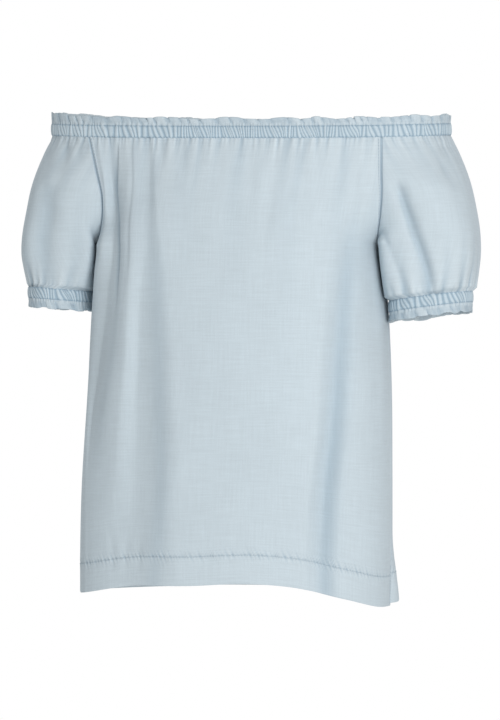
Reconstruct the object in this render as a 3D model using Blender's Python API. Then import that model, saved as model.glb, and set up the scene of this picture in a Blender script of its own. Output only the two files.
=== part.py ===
"""Off-shoulder top in its worn, filled-out form: two panels, two puffed sleeves, elastic casings, frills and hems.

Sizes in the tables are millimetres. +X is the viewer's right, the front faces -Y and +Z is up. The origin is
the middle of the neckline ring, half way up its casing.
"""

import math

import bmesh
import bpy
import numpy as np

MM = 0.001

# Cloth walls and the gap left at every seam
PANEL_WALL = 1.3
SLEEVE_WALL = 1.3
HEM_WALL = 2.2
FRILL_WALL = 1.2
SEAM_GAP = 0.3

# Neckline ring, seen from above a rounded oval, higher at the back than at the front
RING_HALF_WIDTH = 220.0
RING_FRONT_DEPTH = 106.0
RING_BACK_DEPTH = 104.0
RING_ROUNDNESS = 2.6
RING_SIDE_RISE = 3.0
RING_TILT = 8.5
RING_BOW = 3.0
RING_LIFT_TO_LEFT = 0.0175

# Neck casing and the frill above it
CASING_HALF_HEIGHT = 6.5
NECK_GATHERS = 90
NECK_FRILL_HEIGHT = 9.0
NECK_FRILL_WAVES = 54
NECK_FRILL_SWING = 2.6

# Rows of both frills from the casing to the free edge, and how much the edge rises and falls
FRILL_ROW_SHARES = (0.0, 0.55, 1.0)
FRILL_EDGE_WAVE = 0.08

# Casing wall, as distances out from and in from its middle surface
CASING_PINCH = 0.8
CASING_TROUGH = 1.1
CASING_CREST = 2.1
CASING_INSIDE = 1.2
GATHER_SHARE = 0.42

# Cuff casings and the frills below them
CUFF_GATHERS = 18
CUFF_HALF_HEIGHT = 6.2
CUFF_FRILL_HEIGHT = 9.8
CUFF_FRILL_WAVES = 10
CUFF_FRILL_SWING = 2.2
CUFF_ROUNDNESS = 2.1
CUFF_COLUMNS = ("side", "centre_height", "inner_x", "outer_x", "half_depth", "rise_outward")
CUFF_ROWS = (
    (-1, -178.0, 177.0, 248.0, 54.0, 0.079),
    (1, -187.7, 156.5, 244.5, 48.0, 0.125),
)

# How an armhole seam is parted: by its fold angle, and never further than these times the cloth
SEAM_FOLD_ANGLES = (math.radians(45), math.radians(78))
LONGEST_MITRE = 1.6
WIDEST_PARTING = 3.0

# Armhole, a deep rounded U from the casing to the underarm, with its sideways place at each height
ARMHOLE_TOP = -CASING_HALF_HEIGHT
UNDERARM = -126.0
ARMHOLE_SEAM_X = 160.0
ARMHOLE_ROUNDNESS = 2.6
ARMHOLE_STEPS = (0.0, 0.03, 0.08, 0.16, 0.26, 0.37, 0.49, 0.61, 0.73, 0.86, 1.0)
UNDERARM_ROW = len(ARMHOLE_STEPS) - 1
ARMHOLE_COLUMNS = ("height", "left_x", "right_x")
ARMHOLE_ROWS = (
    (-6.5, -160.0, 160.0),
    (-40.0, -153.0, 159.5),
    (-75.0, -147.5, 158.5),
    (-100.0, -151.0, 154.5),
    (-126.0, -163.5, 146.5),
)
ARMHOLE_PULL_REACH = 90.0
CROWDING_AT_UNDERARM = 0.6
CROWDING_TOP = -70.0
CROWDING_DEPTH = 60.0

# Body sections, one row a height
BODY_COLUMNS = ("height", "centre_x", "half_width", "front_depth", "back_depth", "roundness")
BODY_ROWS = (
    (-6.5, 0.0, 220.0, 106.0, 104.0, 2.6),
    (-40.0, -3.0, 192.0, 113.0, 100.0, 2.55),
    (-75.0, -7.0, 171.0, 118.0, 96.0, 2.45),
    (-100.0, -9.0, 160.0, 120.5, 94.0, 2.4),
    (-126.0, -8.5, 155.0, 122.0, 92.5, 2.35),
    (-155.0, -9.0, 157.5, 122.0, 91.5, 2.32),
    (-195.0, -10.0, 162.0, 121.0, 91.0, 2.3),
    (-295.0, -11.5, 168.0, 119.0, 92.0, 2.3),
    (-400.0, -14.5, 171.5, 118.0, 94.0, 2.3),
    (-520.0, -16.0, 172.0, 119.0, 96.0, 2.3),
)
BODY_LEVELS_BELOW = 15
HEM_SEAM_LEVEL = -466.0
HEM_LEVEL = -498.0

# How far each column of the hem hangs above or below the level line, from the left side to the right side
HEM_DROP_FROM = -300.0
HEM_DROP_COLUMNS = ("across", "front_drop", "back_drop")
HEM_DROP_ROWS = (
    (0.0, -9.0, -10.0),
    (0.12, -3.0, -11.0),
    (0.3, 5.0, -10.0),
    (0.45, 7.5, -8.0),
    (0.58, 10.5, -8.0),
    (0.68, 7.0, -9.0),
    (0.8, -6.5, -11.0),
    (0.9, -17.0, -14.0),
    (1.0, -20.0, -17.0),
)

# Side slits, open from this height to the hem, with how far each edge swings away
SLIT_TOP = -454.0
FRONT_SLIT_SWING = 3.0
BACK_SLIT_SWING = 2.5
BACK_SLIT_FLARE_LEFT = 1.0
BACK_SLIT_FLARE_RIGHT = 8.0

# Sleeve sections between the neckline and the cuff, one row a height
SLEEVE_COLUMNS = ("height", "outer_x", "left_inner_x", "right_inner_x", "half_depth", "roundness")
SLEEVE_ROWS = (
    (-6.5, 220.0, 160.0, 160.0, 92.0, 2.4),
    (-25.0, 229.5, 157.0, 160.0, 90.0, 2.35),
    (-53.0, 240.5, 152.0, 159.0, 87.0, 2.3),
    (-86.0, 248.5, 151.0, 155.0, 80.0, 2.25),
    (-118.0, 252.5, 158.0, 149.0, 71.0, 2.2),
    (-135.0, 253.0, 168.0, 149.5, 66.0, 2.2),
    (-152.0, 251.5, 171.5, 151.0, 61.0, 2.2),
    (-168.0, 249.0, 175.5, 153.0, 56.0, 2.15),
)
SLEEVE_LEVELS_BELOW = (-135.0, -147.0, -159.0, -168.0)
SLEEVE_PUFF_FULL_AT = -75.0

# Body folds on the front and the back: a soft trough that starts, bends and ends at these sideways places
FOLD_COLUMNS = (
    "start_height",
    "end_height",
    "start_x",
    "middle_x",
    "end_x",
    "reach_left",
    "reach_right",
    "depth",
    "depth_left_at_end",
)
FRONT_FOLDS = (
    (-8.0, -195.0, -128.0, -125.0, -122.0, 14.0, 9.0, 8.0, 0.0),
    (-12.0, -330.0, -110.0, -113.0, -152.0, 13.0, 14.0, 3.5, 0.0),
    (-8.0, -520.0, -91.0, -76.0, -74.0, 17.0, 12.0, 5.5, 0.8),
    (-10.0, -120.0, -57.0, -54.0, -52.0, 12.0, 12.0, 1.8, 0.0),
    (-10.0, -150.0, 22.0, 22.0, 21.0, 14.0, 14.0, 1.8, 0.0),
    (-10.0, -210.0, 52.0, 48.0, 36.0, 13.0, 13.0, 1.8, 0.0),
    (-8.0, -110.0, 84.0, 83.0, 80.0, 12.0, 12.0, 2.0, 0.0),
    (-14.0, -520.0, 138.0, 118.0, 103.0, 15.0, 15.0, 6.5, 0.9),
    (-190.0, -310.0, 146.0, 151.0, 157.0, 12.0, 12.0, 3.5, 0.0),
)
BACK_FOLDS = (
    (-8.0, -230.0, -129.0, -126.0, -130.0, 14.0, 12.0, 6.0, 0.0),
    (-10.0, -520.0, -84.0, -92.0, -84.0, 17.0, 14.0, 5.0, 0.8),
    (-10.0, -170.0, -38.0, -36.0, -30.0, 14.0, 14.0, 2.4, 0.0),
    (-10.0, -190.0, 18.0, 14.0, 12.0, 14.0, 14.0, 2.4, 0.0),
    (-10.0, -520.0, 76.0, 82.0, 92.0, 15.0, 16.0, 5.0, 0.8),
    (-8.0, -210.0, 127.0, 124.0, 131.0, 13.0, 14.0, 6.0, 0.0),
)
SLEEVE_FOLD_COLUMNS = (
    "side",
    "face",
    "start_height",
    "end_height",
    "start_x",
    "end_x",
    "reach",
    "depth",
    "depth_left_at_end",
)
SLEEVE_FOLDS = (
    (1, -1, -50.0, -182.0, 173.0, 207.0, 10.0, 5.0, 0.5),
    (1, -1, -104.0, -188.0, 153.0, 182.0, 9.0, 3.0, 0.4),
    (1, -1, -10.0, -70.0, 221.0, 229.0, 9.0, 2.0, 0.0),
    (1, 1, -40.0, -180.0, 176.0, 200.0, 12.0, 4.0, 0.4),
    (-1, -1, -50.0, -172.0, 206.0, 233.0, 13.0, 4.0, 0.4),
    (-1, -1, -10.0, -80.0, 190.0, 202.0, 10.0, 2.0, 0.0),
    (-1, 1, -40.0, -172.0, 180.0, 210.0, 12.0, 4.0, 0.4),
)

# Shares of its length at which a fold has its full depth and starts to fade
FOLD_FULL_FROM = 0.16
FOLD_FADES_FROM = 0.55

# How far from the middle of the sleeve, front to back, its folds start and are whole
FACE_EDGE = 4.0
FACE_FULL = 26.0

# Steps across each piece
FRONT_STEPS = 40
BACK_STEPS = 26
SLEEVE_STEPS = 22
EASED_STEPS = 3
EDGE_SHARE = 0.06
SECTION_SAMPLES = 160

# Cloth colour and surface
WASHED_BLUE = (0.52, 0.64, 0.72, 1.0)
BAND_BLUE = (0.42, 0.55, 0.65, 1.0)
CLOTH_ROUGHNESS = 0.85


def column_value(columns, rows, name, height):
    """Reads one named column of a table at a height, along a smooth curve through its rows."""
    table = np.array(rows, float)
    order = np.argsort(table[:, 0])
    places = table[order, 0]
    values = table[order, columns.index(name)]
    slopes = np.gradient(values, places)
    spot = min(max(height, places[0]), places[-1])
    right = int(np.searchsorted(places, spot))
    right = min(max(right, 1), len(places) - 1)
    left = right - 1
    span = places[right] - places[left]
    step = (spot - places[left]) / span
    start = (1 + 2 * step) * (1 - step) ** 2 * values[left]
    start_pull = step * (1 - step) ** 2 * span * slopes[left]
    end = step**2 * (3 - 2 * step) * values[right]
    end_pull = step**2 * (step - 1) * span * slopes[right]
    return start + start_pull + end + end_pull


def named_rows(columns, rows):
    """Rows of a table as dictionaries keyed by its column names."""
    return [dict(zip(columns, row)) for row in rows]


def ease(low, high, value):
    """Goes smoothly from 0 at low to 1 at high."""
    step = np.clip((value - low) / (high - low), 0.0, 1.0)
    return step * step * (3 - 2 * step)


def evenly(points, places):
    """Points at the given shares of a polyline's length."""
    lengths = np.linalg.norm(np.diff(points, axis=0), axis=1)
    along = np.concatenate([[0.0], np.cumsum(lengths)])
    wanted = np.asarray(places) * along[-1]
    return np.stack([np.interp(wanted, along, points[:, axis]) for axis in range(points.shape[1])], axis=1)


def ring_height(x, y):
    """How far the neckline stands above or below its middle level at a place seen from above."""
    depth = np.where(y < 0, RING_FRONT_DEPTH, RING_BACK_DEPTH)
    share = y / depth
    return RING_SIDE_RISE + RING_TILT * share - RING_BOW * share**2 - RING_LIFT_TO_LEFT * x


def neck_influence(level):
    """How much of the neckline's tilt is left at a level: all at the casing and none at the underarm."""
    return ease(UNDERARM, ARMHOLE_TOP, level)


def armhole_place(level):
    """Left x, right x and the share of its full depth that the armhole has at a level."""
    left = column_value(ARMHOLE_COLUMNS, ARMHOLE_ROWS, "left_x", level)
    right = column_value(ARMHOLE_COLUMNS, ARMHOLE_ROWS, "right_x", level)
    fallen = min(max((ARMHOLE_TOP - level) / (ARMHOLE_TOP - UNDERARM), 0.0), 1.0)
    share = max(1 - fallen**ARMHOLE_ROUNDNESS, 0.0) ** (1 / ARMHOLE_ROUNDNESS)
    return left, right, share


def seam_depth_at_ring(face):
    """Front-to-back place of the armhole seam at the neckline."""
    depth = RING_FRONT_DEPTH if face < 0 else RING_BACK_DEPTH
    out = (ARMHOLE_SEAM_X / RING_HALF_WIDTH) ** RING_ROUNDNESS
    return face * depth * (1 - out) ** (1 / RING_ROUNDNESS)


def armhole_levels():
    """Levels of the rows that cross the armhole, close together where it turns under the arm."""
    levels = []
    for step in ARMHOLE_STEPS:
        fallen = math.sin(step * math.pi / 2) ** (2 / ARMHOLE_ROUNDNESS)
        levels.append(ARMHOLE_TOP + (UNDERARM - ARMHOLE_TOP) * fallen)
    return levels


def body_levels():
    """Levels of the rows of both panels from the casing down to the hem stitching."""
    below = np.linspace(UNDERARM, HEM_SEAM_LEVEL, BODY_LEVELS_BELOW + 1)[1:]
    return armhole_levels() + list(below)


def quarter_curve(half_width, depth, roundness, edge_y):
    """Right half of a body section, from its middle out to where it reaches edge_y."""
    reach = min(abs(edge_y) / depth, 1.0)
    last_angle = math.acos(reach ** (roundness / 2))
    angles = np.linspace(0.0, last_angle, SECTION_SAMPLES)
    x = half_width * np.sin(angles) ** (2 / roundness)
    y = depth * np.cos(angles) ** (2 / roundness)
    return np.stack([x, y], axis=1)


def places_across(edge_y, level, places):
    """Shares of the way across a panel, crowded towards the armholes where these turn under the arm."""
    crowding = CROWDING_AT_UNDERARM * ease(CROWDING_TOP, UNDERARM, level) * ease(0.0, CROWDING_DEPTH, edge_y)
    from_edge = np.minimum(places, 1 - places)
    moved = from_edge - crowding * from_edge * (1 - 2 * from_edge) ** 2
    return np.where(places < 0.5, moved, 1 - moved)


def body_section(face, level, places):
    """Points across one panel at a level, seen from above, from its left edge to its right edge."""
    centre = column_value(BODY_COLUMNS, BODY_ROWS, "centre_x", level)
    half_width = column_value(BODY_COLUMNS, BODY_ROWS, "half_width", level)
    depth_name = "front_depth" if face < 0 else "back_depth"
    depth = column_value(BODY_COLUMNS, BODY_ROWS, depth_name, level)
    roundness = column_value(BODY_COLUMNS, BODY_ROWS, "roundness", level)
    left, right, share = armhole_place(level)
    edge_y = abs(seam_depth_at_ring(face)) * share
    to_right = quarter_curve(half_width, depth, roundness, edge_y)
    to_left = to_right * (-1, 1)
    curve = np.concatenate([to_left[::-1], to_right[1:]])
    curve[:, 0] += centre
    curve[:, 1] *= face
    curve = evenly(curve, places_across(edge_y, level, places))
    if level > UNDERARM:
        from_left = np.linalg.norm(curve - curve[0], axis=1)
        from_right = np.linalg.norm(curve - curve[-1], axis=1)
        curve[:, 0] += (left - curve[0, 0]) * ease(0.0, 1.0, 1 - from_left / ARMHOLE_PULL_REACH)
        curve[:, 0] += (right - curve[-1, 0]) * ease(0.0, 1.0, 1 - from_right / ARMHOLE_PULL_REACH)
    return curve


def flat_normals(curve, closed):
    """Level unit vectors square to a curve seen from above, on its left-hand side going backwards."""
    if closed:
        run = np.roll(curve, -1, axis=0) - np.roll(curve, 1, axis=0)
    else:
        run = np.gradient(curve, axis=0)
    normals = np.stack([run[:, 1], -run[:, 0]], axis=1)
    return normals / np.linalg.norm(normals, axis=1)[:, None]


def share_along(fold, height):
    """How far down a fold a height is, from 0 at its start to 1 at its end."""
    fallen = (fold["start_height"] - height) / (fold["start_height"] - fold["end_height"])
    return min(max(fallen, 0.0), 1.0)


def fold_strength(fold, along):
    """How much of its depth a fold has: none at its start, then all, then what is left at its end."""
    lost = (1 - fold["depth_left_at_end"]) * ease(FOLD_FADES_FROM, 1.0, along)
    return ease(0.0, FOLD_FULL_FROM, along) * (1 - lost)


def body_fold_depth(folds, x, height):
    """Depth of all the folds of a panel at one place."""
    total = 0.0
    for fold in folds:
        along = share_along(fold, height)
        place = fold["start_x"] * (1 - along) * (1 - 2 * along)
        place += fold["middle_x"] * 4 * along * (1 - along)
        place += fold["end_x"] * along * (2 * along - 1)
        reach = fold["reach_left"] if x < place else fold["reach_right"]
        shape = math.exp(-(((x - place) / reach) ** 2))
        total += fold["depth"] * shape * fold_strength(fold, along)
    return total


def sleeve_fold_depth(folds, x, y, height):
    """Depth of all the folds of a sleeve at one place, with x measured outwards from the middle of the top."""
    total = 0.0
    for fold in folds:
        along = share_along(fold, height)
        place = fold["start_x"] + (fold["end_x"] - fold["start_x"]) * along
        shape = math.exp(-(((x - place) / fold["reach"]) ** 2))
        on_its_face = ease(FACE_EDGE, FACE_FULL, y * fold["face"])
        total += fold["depth"] * shape * on_its_face * fold_strength(fold, along)
    return total


def hem_drop(face, across):
    """How far the hem hangs away from its level line at a share of the way across a panel."""
    name = "front_drop" if face < 0 else "back_drop"
    return column_value(HEM_DROP_COLUMNS, HEM_DROP_ROWS, name, across)


def panel_grid(face, steps, levels):
    """Middle surface and outward vectors of a stretch of panel, one row a level."""
    places = np.linspace(0.0, 1.0, steps + 1)
    folds = named_rows(FOLD_COLUMNS, FRONT_FOLDS if face < 0 else BACK_FOLDS)
    ring = body_section(face, ARMHOLE_TOP, places)
    tilt = ring_height(ring[:, 0], ring[:, 1])
    drop = np.array([hem_drop(face, place) for place in places])
    points = np.zeros((len(levels), steps + 1, 3))
    outward = np.zeros((len(levels), steps + 1, 3))
    for row, level in enumerate(levels):
        curve = body_section(face, level, places)
        normals = flat_normals(curve, False) * -face
        height = level + tilt * neck_influence(level) + drop * ease(HEM_DROP_FROM, HEM_LEVEL, level)
        depth = np.array([body_fold_depth(folds, x, level) for x in curve[:, 0]])
        if level > UNDERARM:
            depth *= ease(0.0, EDGE_SHARE, places) * ease(0.0, EDGE_SHARE, 1 - places)
        curve = curve - normals * depth[:, None]
        normals = flat_normals(curve, False) * -face
        normals[0] = edge_normal(face, level, -1, normals[0])
        normals[-1] = edge_normal(face, level, 1, normals[-1])
        open_by = ease(SLIT_TOP, HEM_LEVEL, level)
        swing = (FRONT_SLIT_SWING if face < 0 else BACK_SLIT_SWING) * open_by
        curve[0, 1] += face * swing
        curve[-1, 1] += face * swing
        if face > 0:
            near_left = (1 - ease(0.0, EDGE_SHARE, places)) * BACK_SLIT_FLARE_LEFT
            near_right = (1 - ease(0.0, EDGE_SHARE, 1 - places)) * BACK_SLIT_FLARE_RIGHT
            curve += normals * ((near_left + near_right) * open_by)[:, None]
        points[row, :, :2] = curve
        points[row, :, 2] = height
        outward[row, :, :2] = normals
    return points, outward


def edge_normal(face, level, side, own):
    """Outward vector at a panel's side seam, the same for the front and the back."""
    if level <= UNDERARM:
        return np.array([float(side), 0.0])
    return own


def ring_arc(places):
    """The stretch of neckline over a sleeve, from the front seam to the back seam, x measured outwards."""
    start = math.asin((ARMHOLE_SEAM_X / RING_HALF_WIDTH) ** (RING_ROUNDNESS / 2))
    angles = np.linspace(start, math.pi - start, 2 * SECTION_SAMPLES + 1)
    power = 2 / RING_ROUNDNESS
    x = RING_HALF_WIDTH * np.sin(angles) ** power
    turned = np.cos(angles)
    depth = np.where(turned > 0, RING_FRONT_DEPTH, RING_BACK_DEPTH)
    y = -np.sign(turned) * depth * np.abs(turned) ** power
    arc = np.stack([x, y], axis=1)
    middle = SECTION_SAMPLES
    front = evenly(arc[: middle + 1], places[places <= 0.5] * 2)
    back = evenly(arc[middle:], places[places > 0.5] * 2 - 1)
    return np.concatenate([front, back])


def puff_curve(seam_x, seam_y, outer_x, half_depth, roundness, places, face):
    """Half of a sleeve section, from its seam on one face out to its outermost point."""
    reach = min(abs(seam_y) / half_depth, 1.0)
    turn = (1 - reach**roundness) ** (1 / roundness)
    half_width = (outer_x - seam_x) / (1 + turn)
    centre = outer_x - half_width
    start = -math.acos(reach ** (roundness / 2))
    angles = np.linspace(start, math.pi / 2, SECTION_SAMPLES)
    power = 2 / roundness
    x = centre + half_width * np.sign(angles) * np.abs(np.sin(angles)) ** power
    y = face * half_depth * np.abs(np.cos(angles)) ** power
    return evenly(np.stack([x, y], axis=1), places)


def sleeve_section(side, level, places):
    """Points round one sleeve at a level, x measured outwards, from the front seam to the back seam."""
    outer_x = column_value(SLEEVE_COLUMNS, SLEEVE_ROWS, "outer_x", level)
    half_depth = column_value(SLEEVE_COLUMNS, SLEEVE_ROWS, "half_depth", level)
    roundness = column_value(SLEEVE_COLUMNS, SLEEVE_ROWS, "roundness", level)
    front_places = places[places <= 0.5] * 2
    back_places = 2 - places[places > 0.5] * 2
    left, right, share = armhole_place(level)
    seam_front = seam_depth_at_ring(-1) * share
    seam_back = seam_depth_at_ring(1) * share
    seam_x = right if side > 0 else -left
    if level < UNDERARM:
        name = "right_inner_x" if side > 0 else "left_inner_x"
        seam_x = column_value(SLEEVE_COLUMNS, SLEEVE_ROWS, name, level)
    front = puff_curve(seam_x, seam_front, outer_x, half_depth, roundness, front_places, -1)
    back = puff_curve(seam_x, seam_back, outer_x, half_depth, roundness, back_places, 1)
    puff = np.concatenate([front, back])
    arc = ring_arc(places)
    if level > SLEEVE_PUFF_FULL_AT:
        spread = (outer_x - seam_x) / (RING_HALF_WIDTH - ARMHOLE_SEAM_X)
        arc[:, 0] = seam_x + (arc[:, 0] - ARMHOLE_SEAM_X) * spread
        shares = (seam_front / seam_depth_at_ring(-1), seam_back / seam_depth_at_ring(1))
        arc[:, 1] *= np.where(arc[:, 1] < 0, shares[0], shares[1])
        mix = ease(ARMHOLE_TOP, SLEEVE_PUFF_FULL_AT, level)
        puff = arc * (1 - mix) + puff * mix
    return puff


def cuff_values(side):
    """The row of the cuff table for one side, by name."""
    return next(row for row in named_rows(CUFF_COLUMNS, CUFF_ROWS) if row["side"] == side)


def cuff_centre(cuff):
    """Outward place of the middle of a cuff."""
    return (cuff["inner_x"] + cuff["outer_x"]) / 2


def cuff_loop(side, places):
    """Points round a cuff, x measured outwards, from its innermost point by the front and round to it again."""
    cuff = cuff_values(side)
    half_width = (cuff["outer_x"] - cuff["inner_x"]) / 2
    angles = np.linspace(0.0, 2 * math.pi, 4 * SECTION_SAMPLES + 1)
    power = 2 / CUFF_ROUNDNESS
    x = cuff_centre(cuff) - half_width * np.sign(np.cos(angles)) * np.abs(np.cos(angles)) ** power
    y = -cuff["half_depth"] * np.sign(np.sin(angles)) * np.abs(np.sin(angles)) ** power
    return evenly(np.stack([x, y], axis=1), places)


def cuff_height(side, x, below_centre):
    """Height of the cuff's tilted bands at an outward place."""
    cuff = cuff_values(side)
    return cuff["centre_height"] + cuff["rise_outward"] * (x - cuff_centre(cuff)) - below_centre


def sleeve_row(side, level):
    """Points round a sleeve at one level and their heights, which tilt more and more like the cuff."""
    places = np.linspace(0.0, 1.0, SLEEVE_STEPS + 1)
    cuff = cuff_values(side)
    if level is None:
        curve = cuff_loop(side, places)
        return curve, cuff_height(side, curve[:, 0], -CUFF_HALF_HEIGHT - SEAM_GAP)
    curve = sleeve_section(side, level, places)
    arc = ring_arc(places)
    height = level + ring_height(arc[:, 0] * side, arc[:, 1]) * neck_influence(level)
    lean = ease(UNDERARM, SLEEVE_LEVELS_BELOW[-1], level)
    lowered = cuff["centre_height"] - CUFF_ROWS[0][1]
    height = height + lean * (lowered + cuff["rise_outward"] * (curve[:, 0] - cuff_centre(cuff)))
    return curve, height


def sleeve_normals(curve, closed):
    """Level outward vectors of a sleeve row, the same at both ends where these meet under the arm."""
    normals = flat_normals(curve, False)
    if closed:
        normals[0] = (-1.0, 0.0)
        normals[-1] = (-1.0, 0.0)
    return normals


def sleeve_grid(side):
    """Middle surface and outward vectors of a sleeve, from the neckline down to its cuff."""
    places = np.linspace(0.0, 1.0, SLEEVE_STEPS + 1)
    levels = armhole_levels() + list(SLEEVE_LEVELS_BELOW) + [None]
    folds = [fold for fold in named_rows(SLEEVE_FOLD_COLUMNS, SLEEVE_FOLDS) if fold["side"] == side]
    points = np.zeros((len(levels), len(places), 3))
    outward = np.zeros((len(levels), len(places), 3))
    for row, level in enumerate(levels):
        closed = row >= UNDERARM_ROW
        curve, height = sleeve_row(side, level)
        if level is not None:
            depth = np.array([sleeve_fold_depth(folds, x, y, level) for x, y in curve])
            if not closed:
                depth *= ease(0.0, EDGE_SHARE, places) * ease(0.0, EDGE_SHARE, 1 - places)
            curve = curve - sleeve_normals(curve, closed) * depth[:, None]
        points[row] = np.column_stack([curve * (side, 1), height])
        outward[row, :, :2] = sleeve_normals(curve, closed) * (side, 1)
    return points, outward


def unit(vector):
    """The vector at length 1, or as it is if it has none."""
    length = np.linalg.norm(vector)
    return vector / length if length > 1e-6 else vector


def seam_moves(panel_out, sleeve_out, into_panel, into_sleeve, folded_flat):
    """Moves and rim vectors of a panel and a sleeve at one seam point.

    Where the two lie in one line, they share a rim and part along the cloth. Where the seam is folded, each
    keeps its own rim and they part side by side.
    """
    half_gap = SEAM_GAP / 2
    facing = min(max(float(np.dot(panel_out, sleeve_out)), -1.0), 1.0)
    half_angle = math.acos(facing) / 2
    folded = 1.0 if folded_flat else float(ease(*SEAM_FOLD_ANGLES, half_angle))
    mitre = 1 / max(math.cos(half_angle), 0.1)
    shared = unit(panel_out + sleeve_out) * min(mitre, LONGEST_MITRE)
    apart = unit(panel_out - sleeve_out)
    along = half_gap * min(mitre, WIDEST_PARTING) * (1 - folded)
    panel_move = into_panel * along - apart * folded * (PANEL_WALL / 2 + half_gap)
    sleeve_move = into_sleeve * along + apart * folded * (SLEEVE_WALL / 2 + half_gap)
    panel_rim = shared * (1 - folded) + panel_out * folded
    sleeve_rim = shared * (1 - folded) + sleeve_out * folded
    return panel_move, sleeve_move, panel_rim, sleeve_rim


def settle_armhole(panel, sleeve, panel_column, sleeve_column):
    """Shares one rim along an armhole and pulls the two pieces the seam gap apart."""
    panel_points, panel_outward = panel
    sleeve_points, sleeve_outward = sleeve
    panel_inside = 1 if panel_column == 0 else -1
    sleeve_inside = 1 if sleeve_column == 0 else -1
    moves = []
    for row in range(UNDERARM_ROW + 1):
        panel_run = panel_points[row, panel_column + panel_inside] - panel_points[row, panel_column]
        sleeve_run = sleeve_points[row, sleeve_column + sleeve_inside] - sleeve_points[row, sleeve_column]
        panel_out = panel_outward[row, panel_column]
        sleeve_out = sleeve_outward[row, sleeve_column]
        flat = row == UNDERARM_ROW
        moves.append(seam_moves(panel_out, sleeve_out, unit(panel_run), unit(sleeve_run), flat))
    for row, (panel_move, sleeve_move, panel_rim, sleeve_rim) in enumerate(moves):
        panel_points[row, panel_column] += panel_move
        panel_outward[row, panel_column] = panel_rim
        if row < UNDERARM_ROW or sleeve_column == 0:
            sleeve_points[row, sleeve_column] += sleeve_move
            sleeve_outward[row, sleeve_column] = sleeve_rim
        for step in range(1, EASED_STEPS + 1):
            left = 1 - step / (EASED_STEPS + 1)
            panel_points[row, panel_column + step * panel_inside] += panel_move * left
            sleeve_points[row, sleeve_column + step * sleeve_inside] += sleeve_move * left
    if sleeve_column != 0:
        sleeve_points[UNDERARM_ROW, sleeve_column] = sleeve_points[UNDERARM_ROW, 0]
        sleeve_outward[UNDERARM_ROW, sleeve_column] = sleeve_outward[UNDERARM_ROW, 0]


def part_side_seams(points, face, first_row):
    """Moves a panel's side edges half the seam gap away from the other panel."""
    points[first_row:, 0, 1] += face * SEAM_GAP / 2
    points[first_row:, -1, 1] += face * SEAM_GAP / 2


def cloth_material(name, colour):
    """Principled material for a piece of the washed cotton cloth."""
    material = bpy.data.materials.new(name)
    material.use_nodes = True
    shader = material.node_tree.nodes["Principled BSDF"]
    shader.inputs["Base Color"].default_value = colour
    shader.inputs["Roughness"].default_value = CLOTH_ROUGHNESS
    shader.inputs["Metallic"].default_value = 0.0
    return material


def add_piece(name, vertices, faces, colour):
    """Makes one named piece from points in millimetres, with its faces turned outwards and shaded smooth."""
    mesh = bpy.data.meshes.new(name)
    mesh.from_pydata([tuple(point * MM) for point in vertices], [], faces)
    shape = bmesh.new()
    shape.from_mesh(mesh)
    bmesh.ops.recalc_face_normals(shape, faces=shape.faces)
    shape.to_mesh(mesh)
    shape.free()
    mesh.validate()
    mesh.polygons.foreach_set("use_smooth", [True] * len(mesh.polygons))
    piece = bpy.data.objects.new(name, mesh)
    piece.data.materials.append(cloth_material(name + "_cloth", colour))
    bpy.context.scene.collection.objects.link(piece)
    return piece


def wall_piece(name, points, outward, wall, colour, joined_from=None, ring=False):
    """Thickens a grid of middle-surface points into a closed wall of cloth."""
    rows, columns = points.shape[:2]
    index = np.arange(rows * columns).reshape(rows, columns)
    if ring:
        index = np.concatenate([index, index[:, :1]], axis=1)
    if joined_from is not None:
        index[joined_from:, -1] = index[joined_from:, 0]
    outer = points + outward * wall / 2
    inner = points - outward * wall / 2
    count = rows * columns
    vertices = np.concatenate([outer.reshape(-1, 3), inner.reshape(-1, 3)])
    faces = []
    edge_uses = {}
    for row in range(rows - 1):
        for column in range(index.shape[1] - 1):
            quad = [
                index[row, column],
                index[row, column + 1],
                index[row + 1, column + 1],
                index[row + 1, column],
            ]
            quad = [int(corner) for corner in quad]
            faces.append(tuple(quad))
            faces.append(tuple(corner + count for corner in reversed(quad)))
            for start, end in zip(quad, quad[1:] + quad[:1]):
                edge_uses.setdefault(frozenset((start, end)), []).append((start, end))
    for uses in edge_uses.values():
        if len(uses) == 1:
            start, end = uses[0]
            faces.append((end, start, start + count, end + count))
    used = sorted({corner for face in faces for corner in face})
    renumber = {old: new for new, old in enumerate(used)}
    faces = [tuple(renumber[corner] for corner in face) for face in faces]
    return add_piece(name, vertices[used], faces, colour)


def band_piece(name, loop, normals, heights, out_by, inside, colour):
    """Closed band whose outside has several rows and whose inside is plain, with one row of faces."""
    rows = len(heights)
    around = len(loop)
    vertices = []
    for row in range(rows):
        flat = loop + normals * out_by[row][:, None]
        vertices.extend(np.column_stack([flat, heights[row]]))
    for row in (rows - 1, 0):
        flat = loop - normals * inside
        vertices.extend(np.column_stack([flat, heights[row]]))
    faces = []
    layers = rows + 2
    for layer in range(layers):
        following = (layer + 1) % layers
        for step in range(around):
            onward = (step + 1) % around
            faces.append(
                (
                    layer * around + step,
                    layer * around + onward,
                    following * around + onward,
                    following * around + step,
                )
            )
    return add_piece(name, np.array(vertices), faces, colour)


def gathered_band(name, loop, heights_at, half_height, gap_below, gap_above, colour):
    """Elastic casing: pinched at both rows of stitching, with gathers raised between them."""
    normals = flat_normals(loop, True)
    bottom = -half_height + gap_below
    top = half_height - gap_above
    levels = (bottom, bottom * GATHER_SHARE, top * GATHER_SHARE, top)
    crests = np.arange(len(loop)) % 2
    raised = np.where(crests == 1, CASING_CREST, CASING_TROUGH)
    pinched = np.full(len(loop), CASING_PINCH)
    out_by = (pinched, raised, raised, pinched)
    heights = [heights_at(level) for level in levels]
    band_piece(name, loop, normals, heights, out_by, CASING_INSIDE, colour)


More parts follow.
